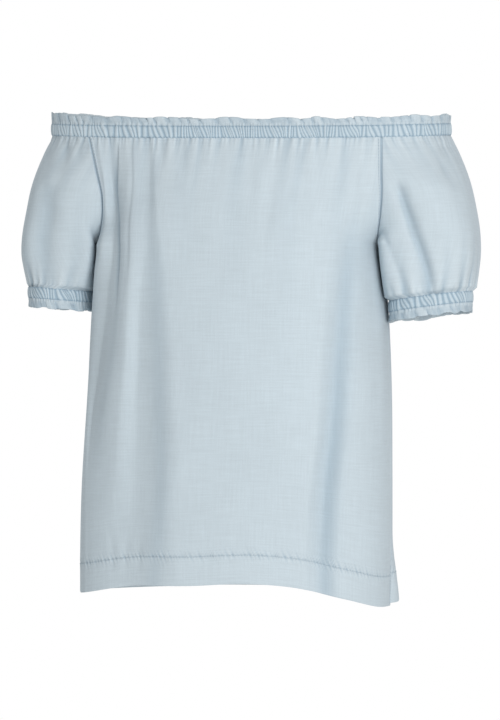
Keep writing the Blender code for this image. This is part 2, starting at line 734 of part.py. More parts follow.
def frill_piece(name, loop, heights_at, start, height, waves, swing, colour):
    """Short ruffle that leaves a casing straight and swings in and out towards its free edge."""
    normals = flat_normals(loop, True)
    around = len(loop)
    turn = np.arange(around) / around * 2 * math.pi
    wave = np.sin(waves * turn + 0.5 * np.sin(5 * turn) + 0.35 * np.sin(11 * turn))
    shares = np.array(FRILL_ROW_SHARES)
    points = np.zeros((len(shares), around, 3))
    outward = np.zeros((len(shares), around, 3))
    for row, share in enumerate(shares):
        points[row, :, :2] = loop + normals * (wave * swing * share**1.2)[:, None]
        points[row, :, 2] = heights_at(start + height * share * (1 + FRILL_EDGE_WAVE * wave))
        outward[row, :, :2] = normals
    wall_piece(name, points, outward, FRILL_WALL, colour, ring=True)


def neck_loop(count):
    """Evenly spaced points round the whole neckline, starting at the middle of the front."""
    angles = np.linspace(0.0, 2 * math.pi, 8 * SECTION_SAMPLES + 1)
    power = 2 / RING_ROUNDNESS
    x = RING_HALF_WIDTH * np.sign(np.sin(angles)) * np.abs(np.sin(angles)) ** power
    depth = np.where(np.cos(angles) > 0, RING_FRONT_DEPTH, RING_BACK_DEPTH)
    y = -depth * np.sign(np.cos(angles)) * np.abs(np.cos(angles)) ** power
    return evenly(np.stack([x, y], axis=1), np.arange(count) / count)


def build_body_and_sleeves():
    """Panels, sleeves and hems, which share their seams."""
    levels = body_levels()
    panels = {-1: panel_grid(-1, FRONT_STEPS, levels), 1: panel_grid(1, BACK_STEPS, levels)}
    for side, name in ((-1, "sleeve_left"), (1, "sleeve_right")):
        sleeve = sleeve_grid(side)
        edge = 0 if side < 0 else -1
        settle_armhole(panels[-1], sleeve, edge, 0)
        settle_armhole(panels[1], sleeve, edge, -1)
        sleeve[0][0, :, 2] -= SEAM_GAP / 2
        wall_piece(name, *sleeve, SLEEVE_WALL, WASHED_BLUE, joined_from=UNDERARM_ROW)
    hem_levels = (HEM_SEAM_LEVEL, (HEM_SEAM_LEVEL + HEM_LEVEL) / 2, HEM_LEVEL)
    for face, steps, word in ((-1, FRONT_STEPS, "front"), (1, BACK_STEPS, "back")):
        points, outward = panels[face]
        part_side_seams(points, face, UNDERARM_ROW)
        points[0, :, 2] -= SEAM_GAP / 2
        points[-1, :, 2] += SEAM_GAP / 2
        wall_piece(word + "_panel", points, outward, PANEL_WALL, WASHED_BLUE)
        points, outward = panel_grid(face, steps, hem_levels)
        part_side_seams(points, face, 0)
        points[0, :, 2] -= SEAM_GAP / 2
        wall_piece(word + "_hem", points, outward, HEM_WALL, BAND_BLUE)


def build_neck():
    """Neck casing and the frill above it."""
    loop = neck_loop(2 * NECK_GATHERS)
    rise = ring_height(loop[:, 0], loop[:, 1])
    gap = SEAM_GAP / 2
    gathered_band("neck_casing", loop, lambda level: rise + level, CASING_HALF_HEIGHT, gap, gap, BAND_BLUE)
    frill_loop = neck_loop(3 * NECK_FRILL_WAVES)
    frill_rise = ring_height(frill_loop[:, 0], frill_loop[:, 1])
    start = CASING_HALF_HEIGHT + gap
    frill_piece(
        "neck_frill",
        frill_loop,
        lambda level: frill_rise + level,
        start,
        NECK_FRILL_HEIGHT,
        NECK_FRILL_WAVES,
        NECK_FRILL_SWING,
        WASHED_BLUE,
    )


def build_cuffs():
    """Elastic casing and frill of each cuff."""
    for side, word in ((-1, "left"), (1, "right")):
        count = 2 * CUFF_GATHERS
        loop = cuff_loop(side, np.arange(count) / count)
        x_out = loop[:, 0]
        loop = loop * (side, 1)
        if side < 0:
            loop = loop[::-1]
            x_out = x_out[::-1]
        gathered_band(
            "cuff_casing_" + word,
            loop,
            lambda level, x=x_out, s=side: cuff_height(s, x, -level),
            CUFF_HALF_HEIGHT,
            SEAM_GAP / 2,
            0.0,
            BAND_BLUE,
        )
        count = 4 * CUFF_FRILL_WAVES
        loop = cuff_loop(side, np.arange(count) / count)
        x_out = loop[:, 0]
        loop = loop * (side, 1)
        if side < 0:
            loop = loop[::-1]
            x_out = x_out[::-1]
        frill_piece(
            "cuff_frill_" + word,
            loop,
            lambda level, x=x_out, s=side: cuff_height(s, x, -level),
            -CUFF_HALF_HEIGHT - SEAM_GAP / 2,
            -CUFF_FRILL_HEIGHT,
            CUFF_FRILL_WAVES,
            CUFF_FRILL_SWING,
            WASHED_BLUE,
        )


for leftover in list(bpy.data.objects):
    bpy.data.objects.remove(leftover, do_unlink=True)

build_body_and_sleeves()
build_neck()
build_cuffs()
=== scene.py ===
"""Off-shoulder top in washed chambray: fine cloth, gathers, folds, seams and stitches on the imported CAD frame.

Sizes in the tables are millimetres. +X is the viewer's right, the front faces -Y and +Z is up.
"""

import math

import bpy
import numpy as np
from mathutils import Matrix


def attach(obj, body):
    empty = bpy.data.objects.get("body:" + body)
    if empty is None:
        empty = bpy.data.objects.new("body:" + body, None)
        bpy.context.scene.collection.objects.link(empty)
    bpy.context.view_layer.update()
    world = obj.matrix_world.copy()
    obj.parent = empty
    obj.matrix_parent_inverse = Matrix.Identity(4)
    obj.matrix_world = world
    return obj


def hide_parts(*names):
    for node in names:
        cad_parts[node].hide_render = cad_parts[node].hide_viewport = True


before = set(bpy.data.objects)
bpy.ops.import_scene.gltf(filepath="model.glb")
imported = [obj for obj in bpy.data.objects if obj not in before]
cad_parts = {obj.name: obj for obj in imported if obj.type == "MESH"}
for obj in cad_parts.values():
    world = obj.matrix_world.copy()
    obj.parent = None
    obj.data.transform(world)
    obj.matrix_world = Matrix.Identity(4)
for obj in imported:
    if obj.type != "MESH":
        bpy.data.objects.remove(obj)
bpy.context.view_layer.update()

MM = 0.001

# Neckline ring, seen from above a rounded oval, higher at the back than at the front
RING_HALF_WIDTH = 220.0
RING_FRONT_DEPTH = 106.0
RING_BACK_DEPTH = 104.0
RING_ROUNDNESS = 2.6
RING_SIDE_RISE = 3.0
RING_TILT = 8.5
RING_BOW = 3.0
RING_LIFT_TO_LEFT = 0.0175

# Casings and frills
CASING_HALF_HEIGHT = 6.5
NECK_FRILL_HEIGHT = 9.0
CUFF_ROUNDNESS = 2.25
CUFF_HALF_HEIGHT = 6.2
CUFF_FRILL_HEIGHT = 9.8
CUFF_COLUMNS = ("side", "centre_height", "inner_x", "outer_x", "half_depth", "rise_outward")
CUFF_ROWS = (
    (-1, -178.0, 177.0, 248.0, 54.0, 0.079),
    (1, -187.7, 156.5, 244.5, 48.0, 0.125),
)

# Armhole, a deep rounded U from the casing to the underarm
ARMHOLE_TOP = -CASING_HALF_HEIGHT
UNDERARM = -126.0
ARMHOLE_SEAM_X = 160.0
ARMHOLE_ROUNDNESS = 2.6
ARMHOLE_COLUMNS = ("height", "left_x", "right_x")
ARMHOLE_ROWS = (
    (-6.5, -160.0, 160.0),
    (-40.0, -153.0, 159.5),
    (-75.0, -147.5, 158.5),
    (-100.0, -151.0, 154.5),
    (-126.0, -163.5, 146.5),
)
ARMHOLE_PULL_REACH = 90.0
SEAM_CROWDING = 0.8
MOST_CROWDING = 8.0
ARMHOLE_GROOVE = 1.5
GROOVE_REACH = 1.3
GROOVE_RUNS_OUT = 0.5
# Painted shade along the groove of the armhole seam
GROOVE_SHADE = 2.2

# Body sections, one row a height
BODY_COLUMNS = ("height", "centre_x", "half_width", "front_depth", "back_depth", "roundness")
BODY_ROWS = (
    (-6.5, 0.0, 220.0, 106.0, 104.0, 2.6),
    (-40.0, -3.0, 192.0, 113.0, 100.0, 2.55),
    (-75.0, -7.0, 171.0, 118.0, 96.0, 2.55),
    (-100.0, -9.0, 160.0, 120.5, 94.0, 2.9),
    (-126.0, -8.5, 155.0, 122.0, 92.5, 3.2),
    (-155.0, -9.0, 157.5, 122.0, 91.5, 3.1),
    (-195.0, -10.0, 162.0, 121.0, 91.0, 2.7),
    (-295.0, -11.5, 168.0, 119.0, 92.0, 2.5),
    (-400.0, -14.5, 171.5, 118.0, 94.0, 2.5),
    (-520.0, -16.0, 172.0, 119.0, 96.0, 2.5),
)
HEM_SEAM_LEVEL = -466.0
HEM_LEVEL = -498.0
HEM_DROP_FROM = -300.0
HEM_DROP_COLUMNS = ("across", "front_drop", "back_drop")
HEM_DROP_ROWS = (
    (0.0, -9.0, -10.0),
    (0.12, -7.0, -11.0),
    (0.3, 5.0, -10.0),
    (0.45, 7.5, -8.0),
    (0.58, 10.5, -8.0),
    (0.68, 7.0, -9.0),
    (0.8, -6.5, -11.0),
    (0.9, -17.0, -14.0),
    (1.0, -20.0, -17.0),
)
SLIT_TOP = -454.0
SLIT_SWING = {-1: 0.3, 1: -3.0}
SLIT_SWING_SHARE = 0.02
SLIT_TUCK = 1.8
SLIT_TUCK_REACH = 4.0
BACK_SLIT_FLARE_RIGHT = 8.0
SLIT_BULGE_TOP = -425.0
SLIT_BULGE_REACH = 16.0
EDGE_SHARE = 0.06

# Sleeve sections between the neckline and the cuff, one row a height
SLEEVE_COLUMNS = ("height", "outer_x", "left_inner_x", "right_inner_x", "half_depth", "roundness")
SLEEVE_ROWS = (
    (-6.5, 220.0, 160.0, 160.0, 92.0, 2.4),
    (-25.0, 229.5, 157.0, 160.0, 90.0, 2.35),
    (-53.0, 240.5, 152.0, 159.0, 87.0, 2.4),
    (-86.0, 248.5, 151.0, 155.0, 80.0, 2.6),
    (-118.0, 252.5, 158.0, 149.0, 71.0, 3.0),
    (-135.0, 253.0, 168.0, 149.5, 66.0, 3.0),
    (-152.0, 251.5, 171.5, 151.0, 61.0, 2.8),
    (-168.0, 249.0, 175.5, 153.0, 56.0, 2.5),
)
SLEEVE_LAST_LEVEL = -168.0
BESIDE_BODY_FROM = {-1: -85.0, 1: -105.0}
BESIDE_BODY_SHARE = {-1: 1.0, 1: 0.55}
BESIDE_BODY_GAP = 2.0
BESIDE_BODY_REACH = 8.0
BESIDE_BODY_ENDS = (-140.0, -175.0)
BESIDE_BODY_LOST = 0.35
SLEEVE_PUFF_FULL_AT = -75.0

# Main folds: soft troughs that start, bend and end at these sideways places
FOLD_COLUMNS = (
    "start_height", "end_height", "start_x", "middle_x", "end_x",
    "reach_left", "reach_right", "depth", "depth_left_at_end",
)
BACK_FOLDS = (
    (-8.0, -230.0, -129.0, -126.0, -130.0, 14.0, 12.0, 6.0, 0.0),
    (-10.0, -520.0, -84.0, -92.0, -84.0, 17.0, 14.0, 5.0, 0.8),
    (-10.0, -170.0, -38.0, -36.0, -30.0, 14.0, 14.0, 2.4, 0.0),
    (-10.0, -190.0, 18.0, 14.0, 12.0, 14.0, 14.0, 2.4, 0.0),
    (-10.0, -520.0, 76.0, 82.0, 92.0, 15.0, 16.0, 5.0, 0.8),
    (-8.0, -210.0, 127.0, 124.0, 131.0, 13.0, 14.0, 6.0, 0.0),
)
SLEEVE_FOLD_COLUMNS = (
    "side", "face", "start_height", "end_height", "start_x", "end_x", "reach", "depth", "depth_left_at_end",
)
SLEEVE_FOLDS = (
    (1, -1, -46.0, -185.0, 172.0, 212.0, 9.0, 3.6, 0.6),
    (1, -1, -104.0, -188.0, 153.0, 182.0, 9.0, 2.0, 0.4),
    (1, -1, -10.0, -70.0, 221.0, 229.0, 9.0, 2.0, 0.0),
    (1, 1, -40.0, -180.0, 176.0, 200.0, 12.0, 4.0, 0.4),
    (-1, -1, -50.0, -172.0, 206.0, 233.0, 13.0, 4.0, 0.4),
    (-1, -1, -10.0, -80.0, 190.0, 202.0, 10.0, 2.0, 0.0),
    (-1, 1, -40.0, -172.0, 180.0, 210.0, 12.0, 4.0, 0.4),
)
FOLD_FULL_FROM = 0.16
FOLD_FADES_FROM = 0.55
FACE_EDGE = 4.0
FACE_FULL = 26.0

# Front folds: twelve crest and valley lines from left to right, their places across and how far
# each stands out from the smooth front, less than nothing in a valley, one row a level
FRONT_LINE_PLACES = (
    (-6, (-152, -134, -128, -113, -105, -89, -83, 112, 132, 142, 148, 154)),
    (-37, (-146, -136, -129, -116, -107, -89, -80, 114, 132, 145, 149, 153)),
    (-60, (-143, -138, -131, -119, -109, -89, -79, 114, 132, 144, 149, 153)),
    (-100, (-146, -139, -130, -117, -108, -89, -74, 112, 130, 142, 147, 151)),
    (-133, (-151, -139, -127, -115, -107, -90, -70, 106, 126, 137, 143, 147)),
    (-176, (-165, -146, -131, -121, -112, -97, -62, 101, 121, 134, 145, 149)),
    (-208, (-169, -152, -137, -126, -115, -101, -59, 98, 118, 132, 147, 152)),
    (-240, (-171, -158, -143, -130, -118, -103, -56, 96, 116, 131, 148, 153)),
    (-272, (-172, -163, -151, -136, -122, -105, -54, 94, 114, 129, 149, 154)),
    (-304, (-172, -167, -158, -143, -127, -106, -52, 92, 112, 127, 149, 154)),
    (-337, (-172, -168, -160, -147, -130, -107, -50, 89, 109, 124, 149, 155)),
    (-368, (-172, -168, -161, -150, -133, -108, -48, 85, 105, 121, 149, 155)),
    (-400, (-171, -167, -161, -152, -137, -109, -48, 82, 102, 119, 149, 155)),
    (-432, (-171, -167, -161, -154, -141, -111, -50, 80, 100, 118, 149, 154)),
    (-464, (-171, -167, -161, -154, -142, -114, -52, 78, 98, 117, 149, 154)),
    (-498, (-171, -167, -161, -154, -142, -117, -55, 78, 98, 117, 149, 154)),
)
FRONT_LINE_HEIGHTS = (
    (-6, (0, -1.4, -1.0, -1.0, 0, -1.4, 0, 0, -1.0, 0, 0, 0)),
    (-37, (0, -5.0, -3.4, -1.8, -0.2, -2.6, 0, 0, -1.6, 0, 0, 0)),
    (-60, (0, -7.5, -5.2, -2.0, -0.2, -3.0, 0, 0, -2.0, 0, 0, 0)),
    (-100, (0, -9.5, -6.6, -2.4, -0.6, -3.6, 0, 0, -3.2, 0, 0, 0)),
    (-133, (0, -10.0, -7.0, -3.0, -1.2, -4.4, 0, 0, -4.4, 0, -0.5, 0)),
    (-176, (0, -9.6, -7.0, -3.8, -2.2, -6.2, 0, 0, -6.0, 0, -1.4, 0)),
    (-208, (0, -9.2, -6.8, -4.0, -2.6, -7.8, 0, 0, -7.4, 0, -1.8, 0)),
    (-240, (0, -8.4, -6.4, -4.0, -3.0, -9.0, 0, 0, -8.6, 0, -1.6, 0)),
    (-272, (0, -7.0, -6.0, -4.2, -3.6, -10.2, 0, 0, -9.8, 0, -1.2, 0)),
    (-304, (0, -5.0, -5.4, -4.4, -4.2, -11.0, 0, 0, -10.6, 0, -0.8, 0)),
    (-337, (0, -3.0, -4.2, -4.6, -5.0, -11.6, 0, 0, -11.2, 0, -0.4, 0)),
    (-368, (0, -1.6, -3.0, -4.4, -5.8, -11.8, 0, 0, -11.6, 0, 0, 0)),
    (-400, (0, -1.2, -2.6, -4.2, -6.6, -11.8, 0, 0, -11.2, 0, 0, 0)),
    (-432, (0, -1.2, -2.6, -4.4, -7.0, -11.4, 0, 0, -10.2, 0, 0, 0)),
    (-464, (0, -1.2, -2.6, -4.4, -6.8, -10.6, 0, 0, -9.0, 0, 0, 0)),
    (-498, (0, -1.2, -2.6, -4.2, -6.2, -9.6, 0, 0, -7.0, 0, 0, 0)),
)
# The one sharp fold: its line, reach to the left and right, painted shade, and the levels over which it runs out
SHARP_FOLD = 2
SHARP_FOLD_REACH = (5.0, 1.6)
SHARP_FOLD_SHADE = 1.4
SHARP_FOLD_ENDS = (-200.0, -140.0)
# Depth of a fold at which its painted shade starts and is whole
FOLD_SHADE_FROM = (1.5, 6.0)
# Walls of folds where deeper shade is painted on the cloth: line at their foot, how far towards the next line, reach,
# depth
SHADED_WALLS = ((5, 0.55, 11.0, 0.45), (8, 0.3, 8.5, 0.95), (2, 0.5, 9.0, 0.25))

# Finer creases: their line as (level, x) points, depth, reach to the left and to the right, and
# the shares of their length over which they fade in and out. A crease of less than no depth is a ridge.
FRONT_CREASES = (
    (((-6, -126), (-40, -128), (-75, -132), (-119, -127), (-174, -130), (-215, -137)), 2.4, 6.0, 1.5, 0.1, 0.4),
    (((-6, -110), (-50, -108), (-100, -111), (-150, -112), (-190, -118)), 1.0, 4.0, 2.0, 0.1, 0.4),
    (((-150, -70), (-300, -60), (-435, -66), (-500, -52)), -0.6, 9.0, 12.0, 0.3, 0.05),
    (((-6, 25), (-20, 25), (-90, 26), (-135, 27)), 0.9, 8.0, 6.0, 0.05, 0.7),
    (((-6, 53), (-26, 52), (-100, 44), (-190, 36)), 1.2, 9.0, 6.0, 0.05, 0.7),
    (((-6, 81), (-60, 81), (-113, 81)), 1.0, 7.0, 7.0, 0.05, 0.6),
    (((-6, 95), (-40, 95), (-80, 96)), 0.9, 6.0, 6.0, 0.05, 0.6),
    (((-6, -75), (-20, -74), (-45, -71)), 1.2, 5.0, 4.0, 0.05, 0.7),
    (((-6, -52), (-20, -51), (-60, -48)), 1.2, 5.0, 5.0, 0.05, 0.7),
    (((-6, -30), (-20, -29), (-50, -28)), 0.8, 5.0, 5.0, 0.05, 0.7),
    (((-6, -6), (-25, -7), (-70, -8)), 0.7, 6.0, 6.0, 0.05, 0.7),
    (((-6, 114), (-30, 117), (-75, 121)), 0.7, 6.0, 5.0, 0.05, 0.7),
    (((-425, -140), (-466, -137), (-490, -139)), 0.8, 4.0, 4.0, 0.5, 0.4),
    (((-430, -118), (-466, -121), (-488, -120)), 0.8, 4.0, 5.0, 0.5, 0.4),
    (((-440, -101), (-466, -103), (-490, -103)), 0.6, 4.0, 4.0, 0.5, 0.4),
)
BACK_CREASES = (
    (((-6, -130), (-60, -131), (-130, -127), (-215, -131)), 2.6, 9.0, 4.0, 0.05, 0.5),
    (((-6, -84), (-150, -90), (-300, -92), (-420, -88), (-500, -84)), 1.6, 6.0, 12.0, 0.05, 0.05),
    (((-120, -62), (-260, -58), (-400, -66), (-500, -70)), -1.5, 12.0, 10.0, 0.3, 0.1),
    (((-6, 77), (-150, 80), (-300, 86), (-500, 92)), 1.6, 12.0, 6.0, 0.05, 0.05),
    (((-150, 60), (-300, 58), (-500, 66)), -1.4, 12.0, 12.0, 0.3, 0.1),
    (((-6, 127), (-80, 124), (-150, 126), (-210, 131)), 2.4, 4.0, 9.0, 0.05, 0.5),
    (((-6, -60), (-40, -58), (-90, -57)), 0.9, 6.0, 5.0, 0.05, 0.7),
    (((-6, -18), (-60, -16), (-130, -12)), 0.9, 7.0, 6.0, 0.05, 0.7),
    (((-6, 46), (-50, 48), (-110, 50)), 0.9, 6.0, 7.0, 0.05, 0.7),
    (((-6, 102), (-40, 104), (-90, 106)), 0.9, 6.0, 5.0, 0.05, 0.7),
    (((-230, 140), (-300, 146), (-380, 150)), 1.6, 8.0, 7.0, 0.3, 0.5),
    (((-240, -146), (-320, -152), (-420, -156)), 1.6, 8.0, 8.0, 0.3, 0.4),
)
SLEEVE_CREASES = (
    (1, -1, ((-52, 176), (-80, 181), (-105, 188), (-132, 197), (-150, 205), (-174, 212)), 4.2, 2.6, 7.0, 0.25, 0.02),
    (1, -1, ((-80, 194), (-110, 201), (-142, 210), (-171, 218)), -1.5, 7.0, 7.0, 0.4, 0.2),
    (1, -1, ((-108, 153), (-128, 162), (-146, 172), (-171, 184)), 1.8, 3.0, 5.0, 0.3, 0.05),
    (1, -1, ((-150, 160), (-160, 163), (-171, 168)), 1.3, 2.5, 3.5, 0.5, 0.02),
    (1, -1, ((-150, 192), (-160, 196), (-171, 198)), 1.4, 2.5, 3.5, 0.5, 0.02),
    (1, -1, ((-28, 221), (-45, 226), (-66, 234)), 1.1, 5.0, 4.0, 0.3, 0.5),
    (1, -1, ((-150, 229), (-160, 226), (-171, 223)), 1.6, 5.0, 4.0, 0.6, 0.02),
    (1, -1, ((-142, 248), (-156, 246), (-171, 243)), 1.6, 4.0, 4.0, 0.6, 0.02),
    (1, -1, ((-6, 174), (-21, 177), (-42, 185)), 0.9, 5.0, 5.0, 0.05, 0.6),
    (1, -1, ((-6, 203), (-20, 208), (-42, 216)), 0.9, 5.0, 5.0, 0.05, 0.6),
    (1, 1, ((-55, 186), (-100, 192), (-140, 200), (-171, 206)), 2.0, 7.0, 8.0, 0.3, 0.02),
    (1, 1, ((-90, 222), (-130, 226), (-171, 230)), 1.5, 6.0, 6.0, 0.4, 0.02),
    (1, 1, ((-6, 182), (-40, 190), (-60, 194)), 1.0, 6.0, 6.0, 0.05, 0.6),
    (-1, -1, ((-55, 203), (-85, 206), (-112, 211), (-140, 216), (-171, 220)), 2.4, 9.0, 12.0, 0.35, 0.05),
    (-1, -1, ((-70, 186), (-110, 190), (-150, 194)), -1.4, 12.0, 10.0, 0.4, 0.3),
    (-1, -1, ((-6, 222), (-24, 217), (-48, 212)), 1.1, 5.0, 5.0, 0.05, 0.6),
    (-1, -1, ((-6, 194), (-20, 192), (-50, 190)), 1.1, 6.0, 5.0, 0.05, 0.6),
    (-1, -1, ((-6, 178), (-20, 175), (-42, 171)), 1.0, 5.0, 5.0, 0.05, 0.6),
    (-1, -1, ((-148, 188), (-160, 186), (-171, 184)), 1.2, 4.0, 4.0, 0.6, 0.02),
    (-1, 1, ((-60, 190), (-100, 196), (-140, 204), (-171, 212)), 2.0, 7.0, 8.0, 0.3, 0.02),
    (-1, 1, ((-6, 186), (-40, 192), (-60, 196)), 1.0, 6.0, 6.0, 0.05, 0.6),
)

# Gathers that run out of a row of elastic: pitch, size, how far they run and where they are whole
NECK_GATHERS_BELOW = ((5.6, 0.6, 7.0, 0.0), (11.0, 0.75, 14.0, 1.0), (23.0, 0.42, 38.0, 6.0), (48.0, 0.3, 90.0, 20.0))
CUFF_GATHERS_ABOVE = ((5.2, 0.85, 6.0, 0.0), (9.5, 1.15, 13.0, 1.0), (21.0, 1.1, 32.0, 4.0))

# Gathers on the elastic itself
BODY_GATHER_PITCH = 3.1
SLEEVE_GATHER_PITCH = 5.4
CUFF_GATHER_PITCH = 4.5
BAND_LEAN = (0.22, 0.4)
BAND_CREST = 2.3
BAND_VALLEY = 0.55
BAND_PINCH = 0.55
BAND_INSIDE = 1.2
# Painted shade of the gathers on the neck and the cuff casings
BAND_GATHER_SHADE = {1: 2.2, -1: 2.9}
# Painted light on the left end of the neck casing, which turns away from the lamps, and the places between which it
# comes in
BAND_PAINTED_LIGHT_LEFT = 0.55
BAND_PAINTED_LIGHT_FROM = (-90.0, -200.0)
STITCH_ROW_INSET = 0.55
LEAN_PITCH = 34.0
BUNCH_PITCH = 11.0

# Rows of stitches: how far they stand off the cloth and in from the edges of slits and armholes
HEM_STITCH_LIFT = 0.25
SEAM_STITCH_LIFT = 0.2
BAND_STITCH_LIFT = 0.1
SLIT_STITCHES_IN = 5.0
ARMHOLE_STITCHES_IN = 3.0
# Stitches: sides of the thread, its stations as share of the length, girth and lift in radii, and its end faces
STITCH_SIDES = 6
STITCH_STATIONS = ((0.0, 0.35, -0.25), (0.22, 0.95, 0.35), (0.78, 0.95, 0.35), (1.0, 0.35, -0.25))
STITCH_ENDS = ((0, (0, 3, 2, 1)), (0, (0, 5, 4, 3)), (3, (0, 1, 2, 3)), (3, (0, 3, 4, 5)))

# Cloth
PANEL_COLUMNS = {-1: 400, 1: 260}
SLEEVE_COLUMNS_ROUND = 220
ROW_SPACING = 2.6
LEAST_ROW_SPACING = 0.2
HEM_CLOTH = 1.3
FRILL_CLOTH = 0.8
SECTION_SAMPLES = 500
HALF_CLOTH = 340.0
TUCKED_IN = 0.8
CRUMPLE_SIZE = 0.35
PANEL_CRUMPLE = 34.0
SLEEVE_CRUMPLE = 30.0
CRUMPLE_WAVES = 22

# Turned hem and felled seams: puckers and dip at the hem stitches, the ridge beside a seam, and the dip and painted
# shade in a seam
PUCKER_PITCH = 4.6
PUCKER_SIZE = 0.55
PUCKER_RUN = 6.5
STITCH_DIP = 0.7
STITCH_DIP_REACH = 1.4
FELLED_RIDGE = 0.55
FELLED_AT = 2.6
FELLED_REACH = 1.5
SEAM_DIP = 0.45
SEAM_SHADE = 2.2
SEAM_SHADE_REACH = 1.2

# Random draws of each panel: its gathers, crumple, puckers and hem stitches
PANEL_SEEDS = {-1: (11, 5, 71, 91), 1: (31, 6, 81, 95)}
# Random draws of the sleeves, told apart by their side: gathers at the neck and at the cuff, and crumple
SLEEVE_SEEDS = (40, 60, 8)

# Rings: points round each, rows outside and inside a casing, and rows of a frill
NECK_POINTS = 2300
CUFF_POINTS = 480
CASING_ROWS = (13, 5)
FRILL_ROWS = 10
# Length over which the pitch of the neck's gathers is told, a little more than the neckline
NECK_PITCH_LENGTH = 1180.0
# Frills: pitch of their folds, how far they swing and how much they lean
NECK_FRILL = (12.5, 1.7, 0.5)
CUFF_FRILL = (13.0, 1.5, -0.45)
CUFF_BAND_LEAN = (-0.4, 0.45)
# Neck frill: how much taller it is at the left end and lower over the panels, and between which places
FRILL_TALLER = 0.28
FRILL_TALLER_FROM = (-150.0, -215.0)
FRILL_LOWER = 0.1
FRILL_LOWER_FROM = (-110.0, -50.0)


def smooth_through(places, values, spots):
    """Reads a smooth curve through values at rising places."""
    places = np.asarray(places, float)
    values = np.asarray(values, float)
    slopes = np.gradient(values, places)
    spots = np.clip(spots, places[0], places[-1])
    right = np.clip(np.searchsorted(places, spots), 1, len(places) - 1)
    left = right - 1
    span = places[right] - places[left]
    step = (spots - places[left]) / span
    start = (1 + 2 * step) * (1 - step) ** 2 * values[left]
    start_pull = step * (1 - step) ** 2 * span * slopes[left]
    end = step**2 * (3 - 2 * step) * values[right]
    end_pull = step**2 * (step - 1) * span * slopes[right]
    return start + start_pull + end + end_pull


def column_value(columns, rows, name, height):
    """Reads one named column of a table at a height."""
    table = np.array(rows, float)
    table = table[np.argsort(table[:, 0])]
    return smooth_through(table[:, 0], table[:, columns.index(name)], height)


def body_value(name, level):
    """One measure of the body at a level."""
    return column_value(BODY_COLUMNS, BODY_ROWS, name, level)


def sleeve_value(name, level):
    """One measure of the sleeves at a level."""
    return column_value(SLEEVE_COLUMNS, SLEEVE_ROWS, name, level)


def face_depth(face, level):
    """How far the smooth front or back of the body stands from the middle at a level."""
    return body_value("front_depth" if face < 0 else "back_depth", level)


def named_rows(columns, rows):
    """Rows of a table as dictionaries keyed by its column names."""
    return [dict(zip(columns, row)) for row in rows]


def ease(low, high, value):
    """Goes smoothly from 0 at low to 1 at high."""
    step = np.clip((value - low) / (high - low), 0.0, 1.0)
    return step * step * (3 - 2 * step)


def hump(distance, reach):
    """A rounded ridge: 1 in its middle and next to nothing two reaches away."""
    return np.exp(-((distance / reach) ** 2))


def signed_power(value, power):
    """A power that keeps the sign, as the rounded ovals need."""
    return np.sign(value) * np.abs(value) ** power


def arc_lengths(points):
    """Distance along a polyline at each of its points."""
    steps = np.linalg.norm(np.diff(points, axis=0), axis=1)
    return np.concatenate([[0.0], np.cumsum(steps)])


def evenly(points, places):
    """Points at the given shares of a polyline's length."""
    along = arc_lengths(points)
    wanted = np.asarray(places) * along[-1]
    return np.stack([np.interp(wanted, along, points[:, axis]) for axis in range(points.shape[1])], axis=1)


def ring_height(x, y):
    """How far the neckline stands above or below its middle level at a place seen from above."""
    depth = np.where(y < 0, RING_FRONT_DEPTH, RING_BACK_DEPTH)
    share = y / depth
    return RING_SIDE_RISE + RING_TILT * share - RING_BOW * share**2 - RING_LIFT_TO_LEFT * x


def neck_influence(level):
    """How much of the neckline's tilt is left at a level: all at the casing and none at the underarm."""
    return ease(UNDERARM, ARMHOLE_TOP, level)


def armhole_place(level):
    """Left x, right x and the share of its full depth that the armhole has at a level."""
    left = column_value(ARMHOLE_COLUMNS, ARMHOLE_ROWS, "left_x", level)
    right = column_value(ARMHOLE_COLUMNS, ARMHOLE_ROWS, "right_x", level)
    fallen = min(max((ARMHOLE_TOP - level) / (ARMHOLE_TOP - UNDERARM), 0.0), 1.0)
    share = max(1 - fallen**ARMHOLE_ROUNDNESS, 0.0) ** (1 / ARMHOLE_ROUNDNESS)
    return left, right, share


def seam_depth_at_ring(face):
    """Front-to-back place of the armhole seam at the neckline."""
    depth = RING_FRONT_DEPTH if face < 0 else RING_BACK_DEPTH
    out = (ARMHOLE_SEAM_X / RING_HALF_WIDTH) ** RING_ROUNDNESS
    return face * depth * (1 - out) ** (1 / RING_ROUNDNESS)


def armhole_groove(levels, from_seam):
    """How far both edges of the armhole seam sink inwards, front to back, so that they stay together."""
    shares = np.array([armhole_place(level)[2] for level in levels])[:, None]
    return ARMHOLE_GROOVE * ease(0.0, GROOVE_RUNS_OUT, shares) * hump(from_seam, GROOVE_REACH)


def armhole_levels():
    """Levels of the rows that cross the armhole, evenly spaced along its seam and closer under the casing."""
    turn = np.linspace(0.0, math.pi / 2, SECTION_SAMPLES)
    fallen = (ARMHOLE_TOP - UNDERARM) * np.sin(turn) ** (2 / ARMHOLE_ROUNDNESS)
    back = abs(seam_depth_at_ring(-1)) * np.cos(turn) ** (2 / ARMHOLE_ROUNDNESS)
    seam = np.stack([fallen, back], axis=1)
    count = round(arc_lengths(seam)[-1] / ROW_SPACING)
    fallen = evenly(seam, np.linspace(0.0, 1.0, count + 1))[1:, 0]
    close_rows = np.arange(0.0, 12.0)
    fallen = fallen[fallen > close_rows[-1] + 1]
    kept = [fallen[0]]
    for depth in fallen[1:-1]:
        if depth - kept[-1] > LEAST_ROW_SPACING and fallen[-1] - depth > LEAST_ROW_SPACING:
            kept.append(depth)
    return ARMHOLE_TOP - np.concatenate([[-TUCKED_IN], close_rows, kept, fallen[-1:]])


def levels_between(top, bottom, spacing):
    """Even levels below the top one, down to and with the bottom one."""
    count = round((top - bottom) / spacing)
    return np.linspace(top, bottom, count + 1)[1:]


